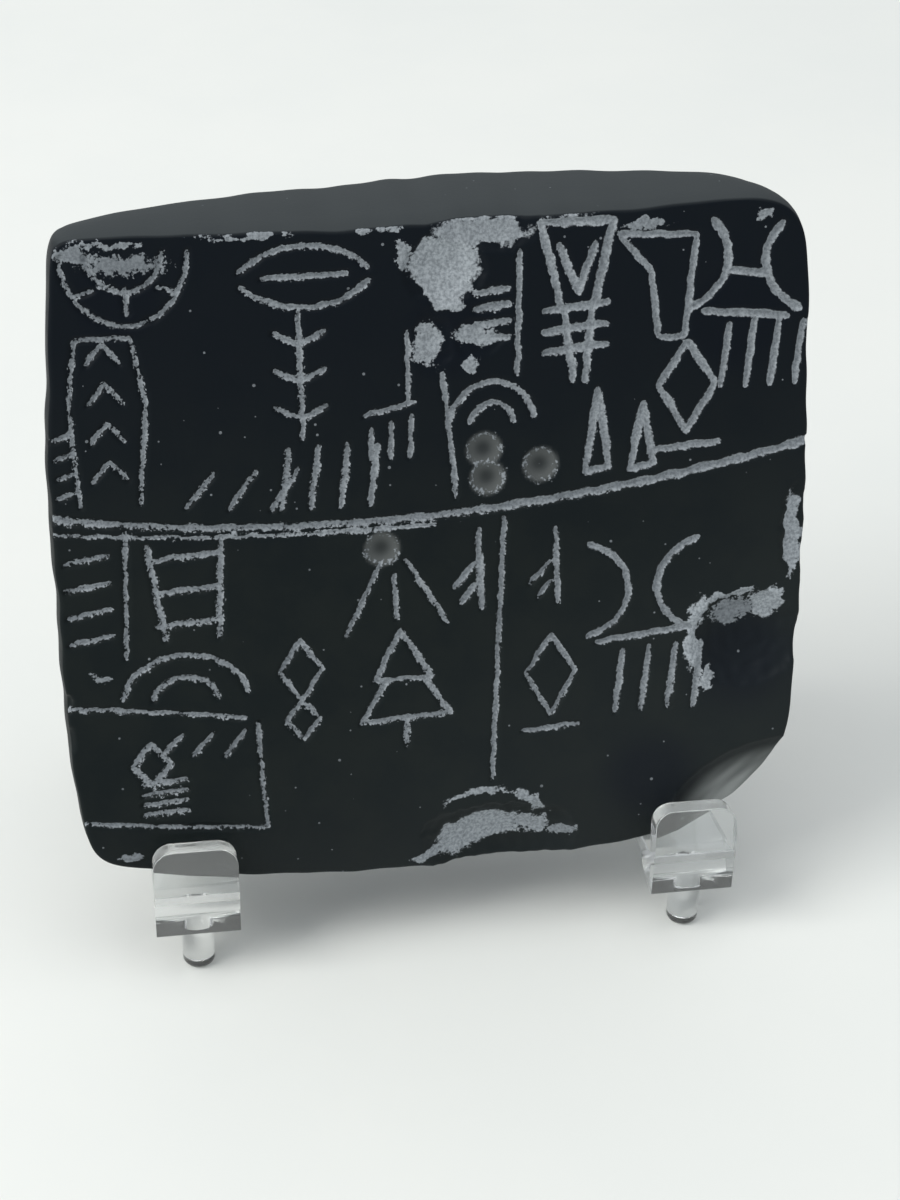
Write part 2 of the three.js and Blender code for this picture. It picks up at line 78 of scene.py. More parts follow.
def smooth_step(value: Array, low: float, high: float) -> Array:
    """Ramp smoothly from 0 at low to 1 at high.

    Args:
        value: The values to map.
        low: Where the ramp starts.
        high: Where the ramp ends; it may be below low, for a falling ramp.

    Returns:
        The ramped values, from 0 to 1.
    """
    share = clamp_unit((value - low) / (high - low))
    return share * share * (3.0 - 2.0 * share)


class Pattern(Enum):
    """The patterns that smooth noise is read from, so that effects don't repeat one another."""

    WAVER_ACROSS = 1.0
    WAVER_UP = 2.0
    FACE = 3.0
    FLAKING = 4.0
    BACK = 5.0
    FINE = 6.0
    SIDE = 7.0
    RAGGED_ACROSS = 8.0
    RAGGED_UP = 9.0
    STREAKS = 12.0


def wander(x: Array, z: Array, size: float, pattern: Pattern) -> Array:
    """Sample smooth noise over a surface.

    Args:
        x: Places across, in mm.
        z: Places up, in mm.
        size: The width of one bump, in mm.
        pattern: Which pattern to read.

    Returns:
        Values from about -1 to 1.
    """
    places = zip(np.ravel(x) / size, np.ravel(z) / size)
    return np.array([noise.noise((a, b, pattern.value)) for a, b in places]).reshape(np.shape(x))


def turned(across: Array, up: Array, degrees: float) -> tuple[Array, Array]:
    """Read places in axes that are turned by an angle.

    Args:
        across: Places across.
        up: Places up.
        degrees: The angle from across towards up.

    Returns:
        The places along and square to the turned axis.
    """
    turn = math.radians(degrees)
    sin, cos = math.sin(turn), math.cos(turn)
    return across * cos + up * sin, up * cos - across * sin


@dataclass(frozen=True)
class Seat:
    """How the tablet leans in its stand, and the levels that both are drawn from."""

    lean_degrees: float = 15.0
    gap: float = 0.3
    foot_span: float = 52.0
    crease_height: float = 16.5
    crease_level: float = -40.5
    lip_thickness: float = 3.0

    @property
    def lean(self) -> float:
        """The lean in radians."""
        return math.radians(self.lean_degrees)

    @property
    def front(self) -> float:
        """The row y of the stand's foremost line."""
        return -self.foot_span / 2

    @property
    def face_middle(self) -> Point:
        """The row y and z of the middle of the face, set by the crease under each lip."""
        lip_front = -self.gap - self.lip_thickness
        sin, cos = math.sin(self.lean), math.cos(self.lean)
        y = self.front - self.crease_level * sin - lip_front * cos
        z = self.crease_height - self.crease_level * cos + lip_front * sin
        return y, z

    def leaned(self, back: float, up: float) -> Point:
        """Find the row y and z of a place given in the tablet's own frame.

        Args:
            back: The distance back from the face.
            up: The distance up the face from its middle.

        Returns:
            The row y and z.
        """
        y, z = self.face_middle
        sin, cos = math.sin(self.lean), math.cos(self.lean)
        return y + up * sin + back * cos, z + up * cos - back * sin

    def unleaned(self, y: float, z: float) -> Point:
        """Find how far back from the face, and how far up it, a row y and z lie."""
        middle_y, middle_z = self.face_middle
        dy, dz = y - middle_y, z - middle_z
        sin, cos = math.sin(self.lean), math.cos(self.lean)
        return dy * cos - dz * sin, dy * sin + dz * cos

    def to_row(self) -> Matrix:
        """The matrix from the tablet's own frame in mm to the row frame in metres."""
        y, z = self.face_middle
        shift = Matrix.Translation((0.0, y * MM, z * MM))
        return shift @ Matrix.Rotation(-self.lean, 4, "X") @ Matrix.Scale(MM, 4)


# ------------------------------------------------------------------ the tablet's form


@dataclass(frozen=True)
class Ring:
    """One loop round the tablet's side: how far inside the rim, and how deep.

    The depth is a share of the thickness, or mm behind the face, or mm in front of the back.
    """

    inset: float
    through: float | None = None
    below: float | None = None
    above: float | None = None

    def depth(self, front: Array, back: Array) -> Array:
        """Find the ring's depths between the front and the back of the slab."""
        if self.below is not None:
            return front + self.below
        if self.above is not None:
            return back - self.above
        return front + self.through * (back - front)


@dataclass(frozen=True)
class Bow:
    """How one side of the outline bellies out at a level and draws in towards its ends."""

    out: float
    level: float
    drawn_in: float

    def widened(self, z: Array, half_height: float) -> Array:
        """Find how far the side stands out at each height."""
        return self.out - self.drawn_in * ((z - self.level) / half_height) ** 2


@dataclass(frozen=True)
class TabletForm:
    """The slab: a squared outline, a flat face with a rolled lower edge and a pillowed back."""

    half_width: float = 47.0
    half_height: float = 43.3
    top_right: float = 15.0
    top_left: float = 40.0
    bottom_left: float = 17.0
    bottom_right: float = 5.7
    top_tilt: float = 0.014
    top_hollow: float = 1.2
    bottom_sag: float = 4.8
    bottom_drop: float = 0.6
    left_bow: Bow = Bow(out=0.45, level=-3.0, drawn_in=2.0)
    right_bow: Bow = Bow(out=0.65, level=7.0, drawn_in=1.4)
    roll_start: float = 30.0
    roll_depth: float = 2.4
    thickness: float = 23.0
    lost_at_sides: float = 11.5
    lost_at_ends: float = 2.0
    rise: float = 2.7
    rise_slope: float = 0.02
    rise_half_width: float = 46.0
    rise_squareness: float = 5.0
    side_bulge: float = 0.4
    side_fullness: float = 0.6
    side_start: float = 0.08
    side_reach: float = 0.62
    front_edge: float = 0.45
    front_shoulder: Point = (0.28, 0.3)
    back_edge: float = 4.2
    wobble: float = 0.14
    wobble_waves: tuple[Place, ...] = ((9, 1.0, 1.0), (23, 0.0, 0.6), (47, 0.0, 0.4))
    side_unevenness: float = 0.12

    def rings(self) -> list[Ring]:
        """List the loops from the front edge over the side to the rim of the back."""
        edge, back = self.front_edge, self.back_edge
        inset, below = self.front_shoulder
        front = [Ring(inset=inset * edge, below=below * edge), Ring(inset=0.0, below=edge)]
        side = [
            Ring(
                inset=-self.side_bulge * math.sin(math.pi * share) ** self.side_fullness,
                through=self.side_start + self.side_reach * share,
            )
            for share in (0.2, 0.4, 0.6, 0.8)
        ]
        turns = [math.radians(angle) for angle in range(0, 91, 18)]
        rear = [
            Ring(inset=back * (1 - math.cos(turn)), above=back * (1 - math.sin(turn)))
            for turn in turns
        ]
        return front + side + rear

    def rim(self, angle: Array) -> tuple[Array, Array]:
        """Find the edge of the face in each direction from its middle.

        Args:
            angle: Directions in radians, from +x towards +z.

        Returns:
            The places across and up.
        """
        across, up = np.cos(angle), np.sin(angle)
        right = across > 0
        top = np.where(right, self.top_right, self.top_left)
        bottom = np.where(right, self.bottom_right, self.bottom_left)
        squareness = np.where(up > 0, top, bottom)
        total = np.abs(across / self.half_width) ** squareness
        total = total + np.abs(up / self.half_height) ** squareness
        reach = total ** (-1.0 / squareness)
        x, z = reach * across, reach * up
        wide = (x / self.half_width) ** 2
        upper = self.top_tilt * x + self.top_hollow * wide
        lower = self.bottom_sag * wide - self.bottom_drop
        left_out = self.left_bow.widened(z, self.half_height)
        out = np.where(right, self.right_bow.widened(z, self.half_height), left_out)
        z = z + (z / self.half_height) ** 4 * np.where(z > 0, upper, lower)
        x = x * (1.0 + out / self.half_width)
        wave = self.wobble * sum(
            height * np.sin(count * angle + start) for count, start, height in self.wobble_waves
        )
        stays = 1.0 + wave / np.hypot(x, z)
        return x * stays, z * stays

    def front_depth(self, z: Array) -> Array:
        """Find how far back the uncut face lies at each height."""
        share = clamp_unit((-z - self.roll_start) / (self.half_height - self.roll_start))
        return self.roll_depth * share**2

    def back_depth(self, x: Array, z: Array) -> Array:
        """Find how far back the rear face lies."""
        sides = self.lost_at_sides * (x / self.half_width) ** 2
        ends = self.lost_at_ends * (z / self.half_height) ** 2
        return self.thickness - sides - ends

    def risen(self, x: Array, depth: Array, z: Array) -> Array:
        """Raise the rear of the top end above its front, most of all in the middle.

        Args:
            x: Places across.
            depth: Depths behind the face.
            z: Places up, before the rise.

        Returns:
            The places up, after the rise.
        """
        share = clamp_unit(depth / self.thickness) * clamp_unit(z / self.half_height) ** 4
        level = 1.0 - clamp_unit(np.abs(x) / self.rise_half_width) ** self.rise_squareness
        return z + share * level * (self.rise + self.rise_slope * x)


# ------------------------------------------------------------------ marks on the face


class MarkForm(Enum):
    """The forms that are pressed into the face. None of them is a letter."""

    UPRIGHTS = "uprights"
    RIBS = "ribs"
    SLANTS = "slants"
    BOWL = "bowl"
    LENS = "lens"
    TROUGH = "trough"
    BRACKET = "bracket"
    BASKET = "basket"
    NESTED = "nested"
    BRANCH = "branch"
    TWIG = "twig"
    COMB = "comb"
    KITE = "kite"
    LOZENGE = "lozenge"
    CHAIN = "chain"
    ARCHES = "arches"
    WEDGES = "wedges"
    LADDER = "ladder"
    RAYS = "rays"
    TREE = "tree"
    WAIST = "waist"


def arc_line(centre: Point, radius: Point, start: float, end: float, steps: int = 9) -> Line:
    """Draw part of an oval.

    Args:
        centre: Its middle, across and up.
        radius: Its half width and half height.
        start: The first angle, in degrees.
        end: The last angle, in degrees.
        steps: How many straight pieces it has.

    Returns:
        The points along it.
    """
    turns = [math.radians(start + (end - start) * i / steps) for i in range(steps + 1)]
    return [
        (centre[0] + radius[0] * math.cos(turn), centre[1] + radius[1] * math.sin(turn))
        for turn in turns
    ]


def spread(count: int, line_at: Callable[[float], Line]) -> list[Line]:
    """Repeat a line from one side of the unit square to the other.

    Args:
        count: How many lines there are.
        line_at: Makes the line for a place from -0.5 to 0.5.

    Returns:
        The lines.
    """
    return [line_at(i / (count - 1) - 0.5) for i in range(count)]


def form_lines(form: MarkForm) -> list[Line]:
    """Draw a form in a square from -0.5 to 0.5, as lists of points across and up.

    Args:
        form: Which form.

    Returns:
        Its lines.
    """
    match form:
        case MarkForm.UPRIGHTS:
            return spread(4, lambda t: [(t + 0.05, 0.5 - 0.1 * abs(t)), (t - 0.05, -0.5)])
        case MarkForm.RIBS:
            return spread(4, lambda t: [(-0.5, t - 0.03), (0.5, t + 0.05)])
        case MarkForm.SLANTS:
            return spread(3, lambda t: [(t - 0.22, -0.4 - t * 0.2), (t + 0.12, 0.45)])
        case MarkForm.BOWL:
            return [
                arc_line((0, 0.45), (0.5, 0.95), 180, 360),
                arc_line((0, 0.45), (0.3, 0.5), 180, 360),
                *spread(3, lambda t: [(t * 0.5, 0), (t * 0.8, -0.34 + 0.5 * abs(t))]),
            ]
        case MarkForm.LENS:
            return [
                arc_line((0, -0.45), (0.62, 0.95), 36, 144),
                arc_line((0, 0.45), (0.62, 0.95), 216, 324),
                [(-0.34, 0), (0.34, 0.02)],
            ]
        case MarkForm.TROUGH:
            return [
                [(-0.5, 0.5), (-0.16, -0.1), (-0.04, -0.5)],
                [(0.5, 0.5), (0.2, -0.1), (0.12, -0.5)],
                [(-0.5, 0.5), (0.5, 0.5)],
                [(-0.24, 0.36), (0.02, 0.06), (0.26, 0.36)],
                *spread(3, lambda t: [(-0.45, t * 0.26 - 0.18), (0.42, t * 0.26 - 0.14)]),
            ]
        case MarkForm.BRACKET:
            return [
                [(-0.5, 0.5), (0.5, 0.46), (0.36, -0.5)],
                [(-0.5, 0.5), (-0.08, 0.12), (0.02, -0.5)],
                [(0.02, -0.5), (0.36, -0.5)],
            ]
        case MarkForm.BASKET:
            return [
                arc_line((-1.02, 0.12), (0.8, 0.56), -62, 40),
                arc_line((1.02, 0.06), (0.8, 0.56), 140, 242),
                [(-0.5, -0.42), (0.5, -0.5)],
                [(-0.22, -0.02), (0.24, -0.08)],
            ]
        case MarkForm.NESTED:
            return [
                [(-0.4, -0.5), (-0.46, 0.1), (-0.34, 0.5)],
                [(0.36, -0.5), (0.5, 0.1), (0.36, 0.5)],
                [(-0.34, 0.5), (0.36, 0.5)],
                *spread(4, lambda t: [(-0.22, t * 0.7), (0, t * 0.7 + 0.12), (0.22, t * 0.7)]),
            ]
        case MarkForm.BRANCH:
            return [
                [(0, 0.5), (0.02, -0.5)],
                *spread(3, lambda t: [
                    (-0.5, t * 0.6 + 0.06), (0, t * 0.6 - 0.04), (0.5, t * 0.6 + 0.06)
                ]),
            ]
        case MarkForm.TWIG:
            return [
                [(0.2, 0.5), (0.26, -0.5)],
                [(-0.5, -0.22), (0.06, 0.06)],
                [(-0.3, -0.42), (0.06, -0.2)],
            ]
        case MarkForm.COMB:
            return [
                [(-0.5, 0.3), (0.5, 0.5)],
                *spread(3, lambda t: [(t * 0.8 + 0.04, 0.16 + t * 0.2), (t * 0.8, -0.5)]),
            ]
        case MarkForm.KITE:
            return [
                [(0, 0.5), (0.44, 0.1), (0, -0.34), (-0.44, 0.1), (0, 0.5)],
                [(-0.5, -0.5), (0.5, -0.46)],
            ]
        case MarkForm.LOZENGE:
            return [[(0, 0.5), (0.5, 0), (0, -0.5), (-0.5, 0), (0, 0.5)]]
        case MarkForm.CHAIN:
            return [
                [(0, 0.5), (0.5, 0.22), (0, -0.06), (-0.5, 0.22), (0, 0.5)],
                [(0, -0.06), (0.4, -0.24), (0, -0.42), (-0.4, -0.24), (0, -0.06)],
            ]
        case MarkForm.ARCHES:
            return [
                arc_line((0, -0.5), (0.5, 1), 8, 172),
                arc_line((0, -0.5), (0.26, 0.52), 8, 172),
            ]
        case MarkForm.WEDGES:
            return spread(2, lambda t: [
                (t * 0.62 - 0.16, -0.5),
                (t * 0.62 + 0.02, 0.4 - t * 0.2),
                (t * 0.62 + 0.18, -0.46),
                (t * 0.62 - 0.16, -0.5),
            ])
        case MarkForm.LADDER:
            return [
                [(-0.5, 0.5), (-0.3, -0.5)],
                [(0.5, 0.5), (0.42, -0.5)],
                *spread(3, lambda t: [(-0.42, t * 0.7), (0.44, t * 0.7 + 0.04)]),
            ]
        case MarkForm.RAYS:
            return [
                [(-0.14, 0.5), (-0.5, -0.5)],
                [(-0.02, 0.3), (0, -0.3)],
                [(0.1, 0.5), (0.5, -0.4)],
            ]
        case MarkForm.TREE:
            return [
                [(-0.04, 0.5), (-0.34, 0.08), (0.3, 0.08), (-0.04, 0.5)],
                [(-0.2, 0.08), (-0.5, -0.28), (0.5, -0.24), (0.2, 0.08)],
                [(0, -0.26), (0, -0.5)],
            ]
        case MarkForm.WAIST:
            return [
                arc_line((-0.75, 0.05), (0.6, 0.45), -75, 75),
                arc_line((0.75, 0.05), (0.6, 0.45), 105, 255),
                [(-0.5, -0.44), (0.5, -0.36)],
            ]


@dataclass(frozen=True)
class Mark:
    """One form on the face: the middle and the size of the box that it fills."""

    form: MarkForm
    x: float
    z: float
    w: float
    h: float

    def lines(self) -> list[Line]:
        """The form's lines in the tablet's own frame."""
        return [
            [(self.x + across * self.w, self.z + up * self.h) for across, up in line]
            for line in form_lines(self.form)
        ]


@dataclass(frozen=True)
class Rule:
    """A ruled line through the points named."""

    through: tuple[Point, ...]
    depth: float = 0.55
    half_width: float = 0.5
    spacing: float = 4.0

    def line(self) -> Line:
        """Bend the line smoothly near its points.

        Returns:
            A point every few millimetres.
        """
        known = np.array(self.through)
        lengths = np.hypot(*np.diff(known, axis=0).T)
        along = np.concatenate([[0.0], np.cumsum(lengths)])
        steps = max(2, int(along[-1] / self.spacing))
        order = min(3, len(known) - 1)
        fit_x = np.polynomial.Polynomial.fit(along, known[:, 0], order)
        fit_z = np.polynomial.Polynomial.fit(along, known[:, 1], order)
        places = np.linspace(0.0, along[-1], steps + 1)
        return [(float(fit_x(place)), float(fit_z(place))) for place in places]


@dataclass(frozen=True)
class Scoop:
    """A shallow round hollow: a pressed pit or a place where a flake has come away."""

    x: float
    z: float
    w: float
    h: float
    deep: float
    ragged: float = 0.5
    tilt: float = 0.0
    flatness: float = 4.0

    def cut(self, x: Array, z: Array) -> Array:
        """Measure how far below the face the hollow lies, below 0 outside it.

        Args:
            x: Places across.
            z: Places up.

        Returns:
            The depths under the face at the hollow's middle.
        """
        bowl = self.flatness * self.deep
        rim_share = math.sqrt(1.0 - (1.0 - self.deep / bowl) ** 2)
        along, square = turned(x - self.x, z - self.z, self.tilt)
        across = along / (self.w / 2 / rim_share)
        up = square / (self.h / 2 / rim_share)
        inside = 1.0 - across**2 - up**2
        return self.deep - bowl * (1.0 - np.sqrt(np.maximum(inside, 0.0)))


@dataclass(frozen=True)
class Rub:
    """A patch of chalk left on the surface, an oval that may be bitten into a crescent.

    The grain says how flaky it is, and the tone how pale.
    """

    x: float
    z: float
    w: float
    h: float
    tilt: float = 0.0
    grain: float = 0.3
    tone: float = 0.8
    bite: Point | None = None
    slope: float = 1.6
    bite_slope: float = 2.2

    def cover(self, x: Array, z: Array) -> Array:
        """Measure how far inside the patch each place lies: 0 at its edge, 1 in its middle.

        Args:
            x: Places across.
            z: Places up.

        Returns:
            The cover, negative outside.
        """
        along, square = turned(x - self.x, z - self.z, self.tilt)
        across, up = along / (self.w / 2), square / (self.h / 2)
        inside = self.slope * (1.0 - np.hypot(across, up))
        if self.bite is not None:
            bitten = self.bite_slope * (np.hypot(across - self.bite[0], up - self.bite[1]) - 1.0)
            inside = np.minimum(inside, bitten)
        return np.minimum(inside, 1.0)


@dataclass(frozen=True)
class Gloom:
    """A place where the black turns darker and bluer, fading out over its reach."""

    x: float
    z: float
    reach: float
    core: float = 0.3

    def over(self, x: Array, z: Array) -> Array:
        """Find its strength at each place, which is 1 in its core."""
        return smooth_step(np.hypot(x - self.x, z - self.z), self.reach, self.core * self.reach)


MARKS = (
    Mark(MarkForm.BOWL, -36.7, 37.3, 15.2, 9.4),
    Mark(MarkForm.LENS, -15.4, 37.6, 15.4, 7.6),
    Mark(MarkForm.TROUGH, 17.9, 32.7, 9, 20),
    Mark(MarkForm.BRACKET, 28, 34.3, 9.6, 13.2),
    Mark(MarkForm.BASKET, 39.2, 36, 10.6, 12.6),
    Mark(MarkForm.NESTED, -39.9, 20.8, 9.6, 21),
    Mark(MarkForm.BRANCH, -16.3, 25.2, 6.2, 15.6),
    Mark(MarkForm.RIBS, 7.4, 31.6, 4.2, 6),
    Mark(MarkForm.UPRIGHTS, 41.4, 25.1, 9.4, 8.4),
    Mark(MarkForm.KITE, 31.9, 20.1, 8.2, 13.8),
    Mark(MarkForm.COMB, -5.5, 17.7, 6.2, 7),
    Mark(MarkForm.ARCHES, 7.3, 20.5, 10.6, 5.6),
    Mark(MarkForm.WEDGES, 23.3, 16.2, 9.2, 10.6),
    Mark(MarkForm.SLANTS, -23.4, 11.1, 10.4, 5.6),
    Mark(MarkForm.UPRIGHTS, -13.1, 12.4, 11, 8),
    Mark(MarkForm.RIBS, -45.4, 15.5, 2, 7.4),
    Mark(MarkForm.RIBS, -43.6, -2, 5.4, 10.6),
    Mark(MarkForm.LADDER, -31.5, -1.6, 9.2, 12.6),
    Mark(MarkForm.RAYS, -5.2, -4.2, 13, 9.8),
    Mark(MarkForm.TWIG, 4.5, -1.1, 4.4, 10.6),
    Mark(MarkForm.TWIG, 14.3, -1.4, 4.8, 10),
    Mark(MarkForm.WAIST, 26.6, -5.9, 12, 14.4),
    Mark(MarkForm.ARCHES, -32.3, -13.2, 16, 6.4),
    Mark(MarkForm.CHAIN, -17.6, -16.6, 5.4, 15),
    Mark(MarkForm.TREE, -4.3, -16.8, 11.6, 16),
    Mark(MarkForm.KITE, 14.6, -17.4, 7.4, 13.4),
    Mark(MarkForm.UPRIGHTS, 28.8, -17.7, 10.4, 9),
    Mark(MarkForm.LOZENGE, -37.1, -24.9, 4.8, 6),
    Mark(MarkForm.SLANTS, -30, -22.6, 8, 3.6),
    Mark(MarkForm.RIBS, -35.6, -29.6, 5.6, 4.4),
)

RULES = (
    Rule(
        ((-48, 9), (-30, 6.9), (-6, 6), (16, 7.5), (32, 10.4), (48, 13.2)),
        depth=0.7, half_width=0.72,
    ),
    Rule(
        ((-48, 7.1), (-36, 5.9), (-24, 5.2), (-10, 5.0), (0, 5.2)),
        depth=0.45, half_width=0.42,
    ),
    Rule(((1.2, 24.7), (2.7, 8.7))),
    Rule(((-3.1, 30), (-3.1, 21.5))),
    Rule(((10.9, 39.5), (10.5, 24))),
    Rule(((8.7, 5.6), (6.8, -30.5))),
    Rule(((-38.6, 6.8), (-39.4, -10))),
    Rule(((-47.2, -16.3), (-36, -17.6), (-25, -19.2))),
    Rule(((-23.4, -20), (-22.8, -35))),
    Rule(((-46, -32.4), (-34, -34), (-23, -35))),
)

PIT_SIZE = 4.8
PIT_DEPTH = 0.8
PITS = tuple(
    Scoop(x, z, PIT_SIZE, PIT_SIZE, PIT_DEPTH, ragged=0.06)
    for x, z in ((6.2, 14.6), (6.6, 10.9), (13.3, 12.2), (-6.9, 2.4))
)

CORNER_BREAK = Scoop(43, -38, 26, 17.6, 2.8, ragged=0.12, tilt=20)
BREAKS = (
    Scoop(1.7, 37.6, 11, 9, 1.2),
    Scoop(7, 42.6, 15, 6.4, 1.0),
    Scoop(0, 28.6, 5.4, 9, 0.6),
    Scoop(5.8, 29, 7.4, 5, 0.5),
    Scoop(40.4, -13.2, 15.5, 13.6, 1.9),
    Scoop(46.6, 1, 4.4, 14, 0.9),
    Scoop(8, -42, 20, 13, 2.6),
    Scoop(1.6, -38.5, 8, 5.6, 1.1),
    Scoop(13, -39, 9, 7, 1.6),
    CORNER_BREAK,
    Scoop(-47.6, -15.4, 2.4, 3.4, 2.0, ragged=0.1),
    Scoop(-47.4, -20.6, 1.8, 5, 1.6, ragged=0.1),
)

RUBS = (
    # the flaked place at the top
    Rub(1.7, 38.2, 9.6, 7.6, grain=0.12, tone=0.85),
    Rub(1.9, 35.2, 5.6, 6.4, grain=0.15, tone=0.8),
    Rub(6.2, 41.9, 13.4, 3.2, tilt=-4, grain=0.2, tone=0.62),
    Rub(-0.4, 28.4, 4.4, 6.6, grain=0.5, tone=0.75),
    Rub(5.2, 29.3, 6.4, 3.4, grain=0.6, tone=0.7),
    Rub(4.6, 25.8, 3.0, 2.2, grain=0.6, tone=0.7),
    # the hollow at the right edge
    Rub(34.2, -12.0, 4.4, 11.6, tilt=-6, grain=0.2, tone=1.0, bite=(1.1, -0.1)),
    Rub(43.0, -8.6, 5.2, 5.6, tilt=20, grain=0.25, tone=0.85),
    Rub(38.2, -7.0, 7.6, 1.4, tilt=10, grain=0.6, tone=0.7),
    Rub(38.6, -9.6, 9.0, 4.4, tilt=6, grain=1.0, tone=0.42),
    Rub(35.4, -18.6, 2.0, 4.6, tilt=-14, grain=0.6, tone=0.8),
    Rub(46.0, 0.8, 2.0, 13.4, grain=0.25, tone=0.8),
    # the flaked place at the foot
    Rub(4.6, -33.2, 10.0, 3.6, tilt=8, grain=0.4, tone=0.7, bite=(0.05, -0.75)),
    Rub(10.8, -34.4, 7.0, 4.0, tilt=-30, grain=0.45, tone=0.7, bite=(-0.3, -0.8)),
    Rub(5.2, -39.6, 13.0, 7.4, tilt=12, grain=0.25, tone=0.85, bite=(0.3, -1.55)),
    Rub(12.6, -39.0, 5.6, 4.0, tilt=-16, grain=0.5, tone=0.75),
    Rub(-1.8, -41.8, 5.6, 2.0, tilt=24, grain=0.35, tone=0.75),
    # rubbed edge and smudges
    Rub(-38.5, 42.6, 12.0, 1.2, grain=1.0, tone=0.55),
    Rub(-22.0, 42.9, 14.0, 0.9, grain=1.05, tone=0.55),
    Rub(-42.6, 41.6, 7.0, 2.4, tilt=-12, grain=0.95, tone=0.45),
    Rub(-36.6, 40.2, 13.0, 3.4, grain=1.1, tone=0.35),
    Rub(-7.0, 43.0, 10.0, 0.9, grain=1.0, tone=0.6),
    Rub(16.6, -39.6, 5.4, 2.4, tilt=10, grain=0.9, tone=0.5),
    Rub(-3.4, 39.4, 2.4, 5.0, grain=0.8, tone=0.65),
    Rub(26.5, 42.0, 8.0, 1.6, grain=0.85, tone=0.5),
    Rub(41.0, 42.6, 2.6, 2.2, grain=0.6, tone=0.6),
    Rub(-42.6, -12.6, 3.6, 1.6, tilt=-20, grain=0.9, tone=0.45),
    Rub(-40.6, -38.0, 4.0, 1.2, grain=0.8, tone=0.5),
)

GLOOMS = (
    Gloom(-38.0, 36.0, 12.0),
    Gloom(2.0, 30.0, 12.0),
    Gloom(38.0, 30.0, 14.0),
    Gloom(40.0, -16.0, 10.0),
    Gloom(28.0, -32.0, 9.0),
)


@dataclass
class FaceSample:
    """What the face is like at many places at once."""

    depth: Array
    chalk: Array
    grain: Array
    tone: Array
    gloom: Array
    bare: Array


@dataclass(frozen=True)
class StrokeLook:
    """How a pressed stroke is cut, and how the chalk lies in it."""

    depth: float = 0.55
    half_width: float = 0.56
    least_share: float = 0.86
    spread_share: float = 0.3
    end_share: float = 0.74
    swell: float = 0.34
    floor_starts: float = 0.85
    grain: float = 0.70
    grain_across: float = 0.010
    grain_up: float = 0.004
    grain_patches: float = 0.30
    tone: float = 0.72
    tone_patches: float = 0.14

    def width_of(self, number: int) -> float:
        """Give the half width of a mark's strokes, which differs from mark to mark."""
        return self.half_width * (self.least_share + self.spread_share * ((number * 7) % 5) / 4)


@dataclass(frozen=True)
class PitLook:
    """How the chalk lies in a round pit: a broken ring near its rim and a dull floor."""

    ring_at: float = 0.86
    ring_cover: float = 0.42
    ring_fall: float = 1.7
    grain: float = 0.75
    tone: float = 0.5
    dullness: float = 0.30
    dark_middle: float = 0.65

    @staticmethod
    def radius(pit: Scoop, x: Array, z: Array) -> Array:
        """Measure how far each place is from a pit's middle, 1 at its rim."""
        return np.hypot(x - pit.x, z - pit.z) / (PIT_SIZE / 2)

    def ring(self, radius: Array) -> Array:
        """Find how well the ring of chalk covers each place."""
        return self.ring_cover - self.ring_fall * np.abs(radius - self.ring_at)

    def bare(self, radius: Array) -> Array:
        """Find how dull the pit's floor is, least in its middle."""
        disc = smooth_step(radius, 1.05, 0.8)
        return self.dullness * (disc * (1.0 - self.dark_middle * smooth_step(radius, 0.7, 0.1)))


